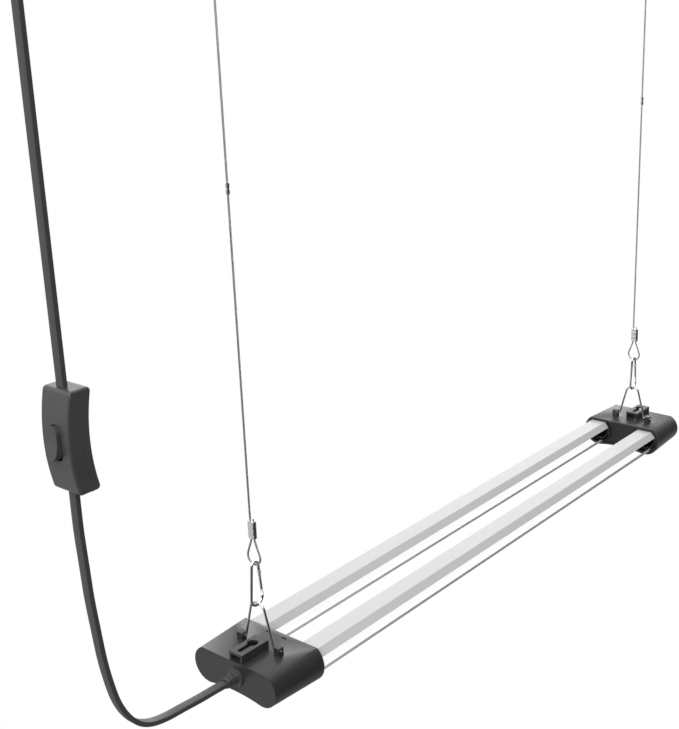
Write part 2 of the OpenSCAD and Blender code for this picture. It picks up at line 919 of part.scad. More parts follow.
// Strap round all turns at the top of the coil
module coil_tie() {
    top_r = coil_out_r - coil_step / 4 + cord_t / 2 + pass_gap;
    low_r = sqrt(pow(coil_out_r - coil_step * coil_turns / 2 - cord_t / 2, 2) - tie_l * tie_l / 4) - pass_gap;
    low_y = -cord_w / 2 - pass_gap;
    high_y = coil_layer + cord_w / 2 + pass_gap;
    color(soft_black)
        translate([coil_x - tie_l / 2, hang_y, coil_z])
            difference() {
                translate([0, low_y - tie_t, low_r - tie_t])
                    cube([tie_l, high_y - low_y + 2 * tie_t, top_r - low_r + 2 * tie_t]);
                translate([-over, low_y, low_r])
                    cube([tie_l + 2 * over, high_y - low_y, top_r - low_r]);
            }
}

// Two-pin plug that hangs from the coil's end
module at_plug() {
    translate([plug_x, hang_y + coil_layer, plug_z])
        children();
}

module plug_body() {
    color(black)
        at_plug()
            hull() {
                translate([0, 0, -plug_neck_l])
                    for (x = [-1, 1], y = [-1, 1])
                        translate([x * (cord_t / 2), y * (cord_w / 2), 0])
                            cylinder(h = plug_neck_l, r = plug_round / 4, $fn = 12);
                for (x = [-1, 1], y = [-1, 1])
                    translate([x * (plug_w / 2 - plug_round), y * (plug_t / 2 - plug_round),
                               -plug_neck_l - plug_l])
                        cylinder(h = plug_l, r = plug_round, $fn = 32);
            }
}

module plug_blades() {
    color(steel)
        at_plug()
            for (side = [-1, 1])
                translate([side * blade_pitch / 2 - blade_t / 2, -blade_w / 2,
                           -plug_neck_l - plug_l - blade_l])
                    difference() {
                        cube([blade_t, blade_w, blade_l]);
                        translate([-over, blade_w / 2, blade_hole_drop])
                            rotate([0, 90, 0])
                                cylinder(h = blade_t + 2 * over, r = blade_hole_r);
                    }
}

// Hangers

// Screw hook: pointed screw above the ceiling, straight shank, and a C-shaped hook below
module ceiling_hook() {
    lean = acos(ceiling_bend_r / (ceiling_bend_r + ceiling_hook_r));
    shank_z = (ceiling_hook_r + ceiling_bend_r) * sin(lean) - ceiling_hook_drop;
    tuck_turn = tuck / ceiling_hook_r * 180 / PI;
    color(steel)
        union() {
            rotate_extrude()
                polygon([[0, shank_z - tuck], [rod_r, shank_z - tuck], [rod_r, screw_l - screw_tip_l],
                         [screw_tip_r, screw_l], [0, screw_l]]);
            along() {
                bend([-ceiling_bend_r, shank_z], ceiling_bend_r, -lean, lean, rod_r + fuller);
                bend([0, -ceiling_hook_drop], ceiling_hook_r, 180 - lean - tuck_turn,
                     hook_sweep + tuck_turn, rod_r);
            }
        }
}

// Angle at which a straight wire leaves a circle of radius a and meets one of radius b about c
function leave(a, b, c) = atan2(c.y, c.x) - acos((a + b) / norm(c));

// Wire bent round the origin, both legs then turning outwards round c until angle stop
module wire_fork(a, b, c, stop, r) {
    turn = leave(a, b, c);
    way = [cos(turn), sin(turn)];
    bend([0, 0], a, 180 - turn, 180 + 2 * turn, r + fuller);
    for (side = [0, 1])
        mirror([side, 0, 0]) {
            bar(a * way, c - b * way, r);
            bend(c, b, stop, 180 + turn - stop, r + fuller);
        }
}

// Round end of a cable, whose two strands run side by side into the ferrule
module cable_eye() {
    wire_fork(loop_r, cable_bend_r, [strand_x + cable_bend_r, loop_rise], 180, cable_r);
    bar([-strand_x, loop_rise], [-strand_x, loop_rise + ferrule_l], cable_r, tuck, tail_proud);
}

module cable() {
    color(steel)
        across() {
            translate([0, low_loop_z])
                cable_eye();
            translate([0, high_loop_z])
                mirror([0, 1, 0])
                    cable_eye();
            bar([strand_x, low_loop_z + loop_rise], [strand_x, high_loop_z - loop_rise], cable_r);
        }
}

// Crimped sleeve with a bore for each strand
module ferrule() {
    half = strand_x + cable_r + ferrule_wall;
    linear_extrude(height = ferrule_l)
        difference() {
            union() {
                square([2 * (cable_r + ferrule_wall), 2 * strand_x], center = true);
                for (side = [-1, 1])
                    translate([0, side * strand_x])
                        circle(r = cable_r + ferrule_wall);
            }
            for (side = [-1, 1])
                translate([0, side * strand_x])
                    circle(r = cable_r + seat / 2);
        }
}

module ferrules() {
    color(steel) {
        translate([0, 0, low_loop_z + loop_rise])
            ferrule();
        translate([0, 0, high_loop_z - loop_rise - ferrule_l])
            ferrule();
    }
}

// Small waisted crimp where the cable is joined
module cable_joint() {
    color(steel)
        translate([0, strand_x, joint_h])
            difference() {
                union() {
                    cylinder(h = 2 * joint_l + joint_gap, r = cable_r + joint_wall / 2);
                    for (lift = [0, joint_l + joint_gap])
                        translate([0, 0, lift])
                            cylinder(h = joint_l, r = cable_r + joint_wall);
                }
                translate([0, 0, -over])
                    cylinder(h = 2 * joint_l + joint_gap + 2 * over, r = cable_r + seat / 2);
            }
}

// Pear-shaped snap hook of one bent wire, with a tongue and pin for the gate and a catch at the nose
module snap_hook() {
    side = [cos(hook_lean), sin(hook_lean)];
    back = [-side.x, side.y];
    down = [side.y, -side.x];
    bowl = [0, bowl_y];
    eye = [0, eye_y];
    color(steel)
        translate([0, 0, hook_z])
            along() {
                bend(bowl, bowl_r, 180 - hook_lean, 180 + 2 * hook_lean, hook_r + fuller);
                bar(bowl + bowl_r * back, eye + eye_r * back, hook_r);
                bend(eye, eye_r, hook_lean, 180 - 2 * hook_lean, hook_r + fuller);
                bar(eye + eye_r * side, gate_place - 2 * hook_r * down, hook_r, tuck, 0);
                bar(bowl + bowl_r * side, bowl + bowl_r * side - nose_l * down, hook_r, tuck, 0);
                at_gate() {
                    translate([-tongue_share * hook_r, 0, -tongue_t / 2])
                        cube([2 * tongue_share * hook_r, 3 * hook_r, tongue_t]);
                    cylinder(h = tongue_t, r = tongue_share * hook_r, center = true);
                    cylinder(h = 2 * hook_r, r = gate_pin_r, center = true);
                    translate([-tongue_share * hook_r, -gate_l - hook_r, -tongue_t / 2])
                        cube([2 * tongue_share * hook_r, catch_l + hook_r, tongue_t]);
                }
            }
}

// At the gate's pin, with Y up along the hook's side
module at_gate() {
    translate([gate_place.x, gate_place.y, 0])
        rotate([0, 0, hook_lean])
            children();
}

// Sprung gate, forked over the tongue above and slotted for the catch below
module hook_gate() {
    slot = tongue_t + 2 * gate_gap;
    color(steel)
        translate([0, 0, hook_z])
            along()
                at_gate()
                    difference() {
                        union() {
                            translate([0, gate_gap - gate_l, 0])
                                rotate([-90, 0, 0])
                                    cylinder(h = gate_l - gate_gap, r = hook_r);
                            for (side = [-1, 1])
                                translate([0, 0, side * (slot / 2 + gate_cheek_t / 2)])
                                    cylinder(h = gate_cheek_t, r = hook_r, center = true);
                        }
                        translate([-2 * hook_r, -2 * hook_r, -slot / 2])
                            cube([4 * hook_r, 4 * hook_r, slot]);
                        translate([-2 * hook_r, -gate_l - over, -slot / 2])
                            cube([4 * hook_r, catch_l + gate_gap + over, slot]);
                        cylinder(h = 4 * hook_r, r = gate_pin_r + turn_fit, center = true);
                    }
}

// Wire bail: round top, two splayed legs, and feet that turn in the lugs
module bail() {
    foot_x = lug_pitch / 2 - lug_w / 2 - pass_gap;
    fall = bail_h - bail_r - bail_top_r;
    color(steel)
        across()
            translate([0, lug_z + fall])
                mirror([0, 1, 0]) {
                    wire_fork(bail_top_r, bail_foot_r, [foot_x, fall - bail_foot_r], 90, bail_r);
                    for (side = [-1, 1])
                        bar([side * foot_x, fall], [side * (lug_pitch / 2 + lug_w / 2), fall],
                            bail_r, tuck, bail_foot_proud);
                }
}

ceiling_hook();  // near_ceiling_hook
translate([hanger_pitch, 0, 0]) ceiling_hook();  // far_ceiling_hook
at_hanger(false) cable();  // near_cable
at_hanger(true) cable();  // far_cable
at_hanger(false) ferrules();  // near_ferrules
at_hanger(true) ferrules();  // far_ferrules
at_hanger(false) cable_joint();  // near_cable_joint
at_hanger(true) cable_joint();  // far_cable_joint
at_hanger(false) snap_hook();  // near_snap_hook
at_hanger(true) snap_hook();  // far_snap_hook
at_hanger(false) hook_gate();  // near_hook_gate
at_hanger(true) hook_gate();  // far_hook_gate
at_hanger(false) bail();  // near_bail
at_hanger(true) bail();  // far_bail
hung() feed_end_cap();
hung() plain_end_cap();
hung() feed_socket_plate();
hung() plain_socket_plate();
hung() at_tube(1) housing();  // left_housing
hung() at_tube(-1) housing();  // right_housing
hung() at_tube(1) clear_cover();  // left_clear_cover
hung() at_tube(-1) clear_cover();  // right_clear_cover
hung() at_tube(1) led_board();  // left_led_board
hung() at_tube(-1) led_board();  // right_led_board
hung() at_tube(1) leds();  // left_leds
hung() at_tube(-1) leds();  // right_leds
hung() driver_board();
hung() driver_transformer();
hung() driver_capacitors();
hung() lead_wires();
hung() cord_gland();
hung() lower_cord();
hung() upper_cord();
hung() cord_coil();
hung() coil_tie();
hung() switch_front_shell();
hung() switch_back_shell();
hung() switch_rocker();
hung() switch_contacts();
hung() switch_screws();
hung() plug_body();
hung() plug_blades();
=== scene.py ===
"""Dresses a hanging twin-tube grow light: its finishes, flat cord, twisted cables and small fittings.

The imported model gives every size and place. Lengths are in metres, in the model's own frame: the origin
is where the near screw hook enters the ceiling, +X runs along the light and +Z is up.
"""

from __future__ import annotations

import json
import logging
import math
from collections.abc import Callable, Iterable, Sequence
from dataclasses import dataclass, field
from enum import Enum
from typing import Any

import bmesh
import bpy
from mathutils import Matrix, Vector

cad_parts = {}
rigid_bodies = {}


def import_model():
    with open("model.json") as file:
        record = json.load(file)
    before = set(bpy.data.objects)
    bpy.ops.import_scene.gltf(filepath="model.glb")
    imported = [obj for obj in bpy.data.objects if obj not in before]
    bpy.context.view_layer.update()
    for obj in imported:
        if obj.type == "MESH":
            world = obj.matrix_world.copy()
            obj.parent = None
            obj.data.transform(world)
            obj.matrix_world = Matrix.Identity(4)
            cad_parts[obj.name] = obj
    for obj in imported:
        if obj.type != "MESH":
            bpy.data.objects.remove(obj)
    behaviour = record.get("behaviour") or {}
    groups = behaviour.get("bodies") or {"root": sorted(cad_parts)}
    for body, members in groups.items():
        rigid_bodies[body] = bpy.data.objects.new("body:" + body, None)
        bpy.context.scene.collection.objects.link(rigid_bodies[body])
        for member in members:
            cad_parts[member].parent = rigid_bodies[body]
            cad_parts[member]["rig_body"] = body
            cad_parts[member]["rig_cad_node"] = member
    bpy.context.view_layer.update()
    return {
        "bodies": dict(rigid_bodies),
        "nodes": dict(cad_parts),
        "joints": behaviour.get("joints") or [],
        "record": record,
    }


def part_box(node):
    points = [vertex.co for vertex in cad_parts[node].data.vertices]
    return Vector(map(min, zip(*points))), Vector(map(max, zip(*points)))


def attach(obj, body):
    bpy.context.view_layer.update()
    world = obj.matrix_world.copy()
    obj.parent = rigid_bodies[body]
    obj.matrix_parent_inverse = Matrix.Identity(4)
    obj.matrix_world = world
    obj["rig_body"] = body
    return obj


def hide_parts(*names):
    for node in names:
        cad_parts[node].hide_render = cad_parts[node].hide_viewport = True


LOG = logging.getLogger("grow_light")
MM = 0.001
# Corners closer than this are one, and faces that meet at less than this many degrees are one
SAME_PLACE = 0.001 * MM
FLAT_UNDER = 0.3
# Where the light's own origin, on the tubes' axes at the feed end, lies in the model's frame
LIGHT_AT = Vector((-0.025, 0.002, -0.550))
# Sideways place of the hangers and the cord in the light's own frame
HANG_Y = -0.002
Pair = tuple[float, float]
Triple = tuple[float, float, float]
Socket = bpy.types.NodeSocket
Inputs = dict[Any, Any]
Mesh = bpy.types.Mesh
Piece = bpy.types.Object
EdgeShare = Callable[[bmesh.types.BMEdge], float]


class End(Enum):
    """The two ends of the light, by the names that their nodes start with."""

    NEAR = "near"
    FAR = "far"

    @property
    def cap(self) -> str:
        """Name that the nodes of this end's cap start with."""
        return "feed" if self is End.NEAR else "plain"


class Side(Enum):
    """The two tubes, by the names that their nodes start with."""

    LEFT = "left"
    RIGHT = "right"


class Value:
    """A node tree's value that takes part in sums, adding its Math nodes as it goes."""

    def __init__(self, tree: NodeTree, socket: Socket) -> None:
        """Wraps an output socket, and keeps the tree that new Math nodes go to."""
        self.tree = tree
        self.socket = socket

    def _math(self, operation: str, first: Any, second: Any = 0.0) -> Value:
        """Adds one Math node for two values, each a number or a Value."""
        return self.tree.value("ShaderNodeMath", {"operation": operation}, {0: first, 1: second})

    def __add__(self, other: Any) -> Value:
        """Adds a number or a Value."""
        return self._math("ADD", self, other)

    def __mul__(self, other: Any) -> Value:
        """Multiplies by a number or a Value."""
        return self._math("MULTIPLY", self, other)

    def __truediv__(self, other: Any) -> Value:
        """Divides by a number or a Value."""
        return self._math("DIVIDE", self, other)

    def __rsub__(self, other: Any) -> Value:
        """Takes this value away from a number."""
        return self._math("SUBTRACT", other, self)

    def over(self, limit: float) -> Value:
        """Gives 1 where this value is over a limit, and 0 elsewhere."""
        return self._math("GREATER_THAN", self, limit)

    def cosine(self) -> Value:
        """Gives the cosine of this angle in radians."""
        return self._math("COSINE", self)

    def sine(self) -> Value:
        """Gives the sine of this angle in radians."""
        return self._math("SINE", self)

    __radd__ = __add__
    __rmul__ = __mul__


class NodeTree:
    """A node tree under construction."""

    def __init__(self, tree: bpy.types.NodeTree) -> None:
        """Keeps the tree that new nodes go to."""
        self.tree = tree

    def node(self, kind: str, settings: dict[str, Any], values: Inputs) -> bpy.types.Node:
        """Adds a node of any kind.

        Args:
            kind: The node's type.
            settings: Its properties, set before its sockets.
            values: Numbers, colours, sockets or Values for its inputs, by name or index.

        Returns:
            The new node.
        """
        new = self.tree.nodes.new(kind)
        for name, setting in settings.items():
            setattr(new, name, setting)
        for name, given in values.items():
            source = given.socket if isinstance(given, Value) else given
            if isinstance(source, Socket):
                self.tree.links.new(source, new.inputs[name])
            else:
                new.inputs[name].default_value = source
        return new

    def value(self, kind: str, settings: dict[str, Any], values: Inputs, output: Any = 0) -> Value:
        """Adds a node and gives one of its outputs, by name or index, as a Value."""
        return Value(self, self.node(kind, settings, values).outputs[output])


@dataclass(frozen=True)
class Noise:
    """A noise that a finish is made of: features per metre, octaves, and factors along each axis."""

    scale: float
    detail: float = 2.0
    stretch: Triple = (1.0, 1.0, 1.0)


class Shader(NodeTree):
    """A material or world under construction."""

    def __init__(self, owner: bpy.types.Material | bpy.types.World) -> None:
        """Empties the owner's node tree.

        Args:
            owner: The material or world whose nodes are built.
        """
        owner.use_nodes = True
        super().__init__(owner.node_tree)
        self.tree.nodes.clear()

    def place(self, stretch: Triple = (1.0, 1.0, 1.0)) -> Socket:
        """Gives the object's own coordinates, stretched along each axis."""
        coordinates = self.node("ShaderNodeTexCoord", {}, {}).outputs["Object"]
        return self.node("ShaderNodeMapping", {}, {"Vector": coordinates, "Scale": stretch}).outputs[0]

    def noise(self, noise: Noise) -> Value:
        """Gives a noise between 0 and 1, on the object's own coordinates."""
        values = {"Vector": self.place(noise.stretch), "Scale": noise.scale, "Detail": noise.detail}
        return self.value("ShaderNodeTexNoise", {}, values, "Fac")

    def ramp(self, given: Value, start: float, end: float) -> Value:
        """Goes smoothly from 0 to 1 as a value goes from start to end."""
        values = {"Value": given, "From Min": start, "From Max": end}
        return self.value("ShaderNodeMapRange", {"interpolation_type": "SMOOTHSTEP"}, values, "Result")

    def blend(self, amount: Any, first: Triple, second: Triple) -> Socket:
        """Mixes two colours by the share of the second, a number or a Value."""
        values = {0: amount, 6: (*first, 1.0), 7: (*second, 1.0)}
        return self.node("ShaderNodeMix", {"data_type": "RGBA"}, values).outputs[2]

    def bump(self, height: Value, strength: float, distance: float) -> Socket:
        """Turns a height into a bumped normal."""
        values = {"Height": height, "Strength": strength, "Distance": distance}
        return self.node("ShaderNodeBump", {}, values).outputs["Normal"]

    def principled(self, values: dict[str, Any]) -> None:
        """Ends a material in one Principled shader with these values."""
        body = self.node("ShaderNodeBsdfPrincipled", {}, values)
        self.node("ShaderNodeOutputMaterial", {}, {"Surface": body.outputs[0]})


class GeometryTree(NodeTree):
    """A Geometry Nodes tree with named inputs."""

    def __init__(self, name: str) -> None:
        """Starts a tree that takes and gives geometry.

        Args:
            name: Its name.
        """
        super().__init__(bpy.data.node_groups.new(name, "GeometryNodeTree"))
        for way in ("INPUT", "OUTPUT"):
            self.tree.interface.new_socket("Geometry", in_out=way, socket_type="NodeSocketGeometry")
        self.inside = self.node("NodeGroupInput", {}, {})
        self.given: dict[str, Any] = {}

    def input(self, name: str, kind: str, given: Any) -> Value:
        """Adds a named input and keeps its value under the socket's identifier.

        Args:
            name: The input's name.
            kind: Its socket type, such as NodeSocketFloat.
            given: The value for the modifier.

        Returns:
            The input inside the tree.
        """
        socket = self.tree.interface.new_socket(name, in_out="INPUT", socket_type=kind)
        self.given[socket.identifier] = given
        return Value(self, self.inside.outputs[socket.name])

    def made(self, kind: str, values: Inputs, **settings: Any) -> Socket:
        """Adds a node with these values and settings, and gives its first output."""
        return self.node(kind, settings, values).outputs[0]

    def vector(self, operation: str, first: Any, second: Any) -> Socket:
        """Adds a Vector Math node for two vectors and gives its vector."""
        return self.made("ShaderNodeVectorMath", {0: first, 1: second}, operation=operation)

    def scaled(self, first: Any, factor: Value) -> Socket:
        """Scales a vector by a number."""
        return self.made("ShaderNodeVectorMath", {0: first, "Scale": factor}, operation="SCALE")

    def dressed(self, shape: Socket, material: bpy.types.Material) -> Socket:
        """Gives geometry one material."""
        return self.made("GeometryNodeSetMaterial", {0: shape, "Material": material})

    def joined(self, *shapes: Socket) -> Socket:
        """Joins geometry.

        Args:
            shapes: The geometry to join.

        Returns:
            The joined geometry.
        """
        join = self.node("GeometryNodeJoinGeometry", {}, {})
        for shape in shapes:
            self.tree.links.new(shape, join.inputs[0])
        return join.outputs[0]

    def end(self, geometry: Socket) -> None:
        """Realizes all instances of geometry, whose materials are set, and gives it out."""
        real = self.made("GeometryNodeRealizeInstances", {0: geometry})
        self.node("NodeGroupOutput", {}, {0: real})


@dataclass(frozen=True)
class Finish:
    """A finish with patches, which tint and dull it, and a relief, which bumps it."""

    name: str
    colour: Triple
    roughness: float = 0.5
    relief: Noise = Noise(1500.0)
    depth: float = 0.02 * MM
    bump: float = 0.6
    patches: Noise = Noise(45.0)
    # The patches' colour is the plain one times the tint, unless it is given
    tint: float = 1.264
    patch_colour: Triple | None = None
    relief_in_tint: float = 0.0
    patch_roughness: float = 0.08
    relief_roughness: float = 0.04
    metallic: float = 0.0
    coat: float = 0.0

    def pattern(self, shader: Shader, noise: Noise) -> Value:
        """Gives the patches or the relief as a Value."""
        return shader.noise(noise)

    def surface(self, shader: Shader) -> dict[str, Any]:
        """Gives the values of the Principled shader.

        Args:
            shader: The material's shader.

        Returns:
            The values, by socket.
        """
        patches = self.pattern(shader, self.patches)
        relief = self.pattern(shader, self.relief)
        tinted = self.patch_colour or tuple(min(1.0, self.tint * part) for part in self.colour)
        share = patches * (1 - self.relief_in_tint) + relief * self.relief_in_tint
        return {
            "Base Color": shader.blend(share, self.colour, tinted),
            "Metallic": self.metallic,
            "Roughness": self.roughness + patches * self.patch_roughness + relief * self.relief_roughness,
            "Coat Weight": self.coat,
            "Normal": shader.bump(relief, self.bump, self.depth),
        }

    def build(self) -> bpy.types.Material:
        """Builds the material.

        Returns:
            The finished material.
        """
        material = bpy.data.materials.new(self.name)
        shader = Shader(material)
        shader.principled(self.surface(shader))
        return material


@dataclass(frozen=True)
class MouldedPlastic(Finish):
    """Moulded plastic with a fine spark-eroded grain and slight clouding from the mould."""


@dataclass(frozen=True)
class ExtrudedAluminium(Finish):
    """Clear-anodised aluminium with die lines along the extrusion."""

    roughness: float = 0.26
    relief: Noise = Noise(1400.0, 3.0, (0.004, 1.0, 1.0))
    bump: float = 0.25
    patches: Noise = Noise(14.0, 2.0, (0.2, 1.0, 1.0))
    tint: float = 1.05
    relief_in_tint: float = 0.5
    patch_roughness: float = 0.0
    relief_roughness: float = 0.12
    # The anodised skin is matt: most of the light is scattered in it
    metallic: float = 0.12


@dataclass(frozen=True)
class PlatedSteel(Finish):
    """Bright plated steel with faint drawing marks and duller patches."""

    relief: Noise = Noise(2600.0, 2.0, (1.0, 1.0, 0.15))
    depth: float = 0.01 * MM
    bump: float = 0.15
    patches: Noise = Noise(220.0, 3.0)
    tint: float = 0.82
    patch_roughness: float = 0.12
    relief_roughness: float = 0.05
    metallic: float = 1.0


@dataclass(frozen=True)
class CordJacket(Finish):
    """Soft cord jacket with a satin sheen and scuffs."""

    roughness: float = 0.36
    relief: Noise = Noise(2400.0)
    depth: float = 0.015 * MM
    bump: float = 0.4
    patches: Noise = Noise(160.0, 4.0)
    tint: float = 1.35
    patch_roughness: float = 0.14
    relief_roughness: float = 0.0


@dataclass(frozen=True)
class Phosphor(Finish):
    """Yellow phosphor under a clear silicone lens."""

    roughness: float = 0.3
    relief: Noise = Noise(5000.0)
    depth: float = 0.01 * MM
    bump: float = 0.2
    patches: Noise = Noise(5000.0)
    patch_colour: Triple = (0.95, 0.78, 0.3)
    patch_roughness: float = 0.1
    relief_roughness: float = 0.0
    coat: float = 0.6


@dataclass(frozen=True)
class SolderMask(Finish):
    """Printed board under solder mask, whose patches and relief are its tracks."""

    roughness: float = 0.38
    relief: Noise = Noise(160.0, 0.0)
    depth: float = 0.03 * MM
    bump: float = 0.5
    patches: Noise = Noise(160.0, 0.0)
    patch_roughness: float = -0.08
    relief_roughness: float = 0.0
    track_limit: float = 0.52

    def pattern(self, shader: Shader, noise: Noise) -> Value:
        """Gives the tracks as 1 and the plain mask as 0."""
        return super().pattern(shader, noise).over(self.track_limit)


@dataclass(frozen=True)
class ClearCover(Finish):
    """Clear polycarbonate: a faint reflection all over, and painted shade where its thin wall is seen
    edge-on.
    """

    roughness: float = 0.03
    relief: Noise = Noise(700.0, 2.0, (0.01, 1.0, 1.0))
    depth: float = 0.01 * MM
    bump: float = 0.1
    relief_roughness: float = 0.05
    # Colour of the painted shade on the rim, where the wall is seen edge-on, and where that painted shade
    # starts, ends and how opaque it is
    edge_colour: Triple = (0.02, 0.02, 0.022)
    shine: float = 0.008
    edge_start: float = 0.7
    edge_end: float = 0.78
    edge_cover: float = 0.98

    def surface(self, shader: Shader) -> dict[str, Any]:
        """Gives the values of the Principled shader.

        Args:
            shader: The material's shader.

        Returns:
            The values, by socket.
        """
        lines = self.pattern(shader, self.relief)
        facing = shader.value("ShaderNodeLayerWeight", {}, {"Blend": 0.5}, "Facing")
        # Painted shade: the wall turns dark and opaque as it turns edge-on to the view
        edge = shader.ramp(facing, self.edge_start, self.edge_end)
        return {
            "Base Color": shader.blend(edge, self.colour, self.edge_colour),
            "Metallic": 1.0,
            "Roughness": self.roughness + self.relief_roughness * lines,
            "Alpha": self.shine + self.edge_cover * edge,
            "Normal": shader.bump(lines, self.bump, self.depth),
        }


class Finishes:
    """Every finish of the light, built once and kept under its record slot."""

    def __init__(self) -> None:
        """Builds all materials."""
        switch_grey = (0.045, 0.045, 0.045)
        white, pale = (0.86, 0.86, 0.84), (0.78, 0.78, 0.77)
        # Each moulded piece has its own grain
        fine, finest, smooth = Noise(1100.0), Noise(2000.0), Noise(3000.0)
        lengthways = Noise(160.0, 0.0, (0.2, 1.0, 1.0))
        made: dict[str, Finish] = {
            "hook_steel": PlatedSteel("hook_plating", (0.82, 0.82, 0.84), 0.12),
            "cable_steel": PlatedSteel("cable_strands", (0.46, 0.46, 0.47), 0.3),
            "ferrule_steel": PlatedSteel("crimped_sleeve", (0.8, 0.8, 0.82), 0.2),
            "bail_steel": PlatedSteel("bail_plating", (0.7, 0.7, 0.72), 0.14),
            "screw_steel": PlatedSteel("zinc_plating", (0.6, 0.6, 0.63), 0.32),
            "contact_brass": PlatedSteel("brass", (0.82, 0.62, 0.28), 0.24),
            "cap_black": MouldedPlastic("cap_plastic", (0.022, 0.022, 0.022), 0.3),
            "plate_black": MouldedPlastic("socket_plate_plastic", (0.012, 0.012, 0.012), 0.46),
            "switch_black": MouldedPlastic("switch_plastic", switch_grey, 0.32, fine),
            "rocker_black": MouldedPlastic("rocker_plastic", switch_grey, 0.32, finest, depth=0.01 * MM),
            "housing_aluminium": ExtrudedAluminium("anodised_housing", (0.55, 0.553, 0.557)),
            "clear_cover": ClearCover("clear_polycarbonate", (0.95, 0.96, 0.97)),
            "cord_black": CordJacket("cord_jacket", (0.04, 0.04, 0.04)),
            "led_yellow": Phosphor("phosphor", (0.9, 0.66, 0.12)),
            "led_board_white": SolderMask(
                "white_solder_mask", white, relief=lengthways, patches=lengthways, patch_colour=pale
            ),
            "board_green": SolderMask(
                "green_solder_mask", (0.02, 0.13, 0.05), patch_colour=(0.04, 0.2, 0.08)
            ),
            "winding_yellow": MouldedPlastic("winding_tape", (0.72, 0.55, 0.08), 0.41, Noise(900.0)),
            "capacitor_grey": MouldedPlastic("capacitor_sleeve", (0.05, 0.07, 0.11), 0.26, finest),
            "wire_red": MouldedPlastic("wire_insulation", (0.4, 0.03, 0.02), 0.36, finest),
        }
        self.materials = {slot: finish.build() for slot, finish in made.items()}
        self.led_case = MouldedPlastic("led_case", (0.88, 0.88, 0.86), 0.36, smooth).build()

    def dress(self, piece: Piece, slot: str) -> None:
        """Puts a slot's material on all faces of a piece.

        Args:
            piece: A CAD node's object or a new piece.
            slot: The record's material slot.
        """
        piece.data.materials.clear()
        piece.data.materials.append(self.materials[slot])
        "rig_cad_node" not in piece


def linked(name: str, data: bpy.types.ID) -> Piece:
    """Makes an object of a mesh, camera or lamp and puts it in the scene.

    Args:
        name: The object's name.
        data: What it shows.

    Returns:
        The new object.
    """
    made = bpy.data.objects.new(name, data)
    bpy.context.scene.collection.objects.link(made)
    return made


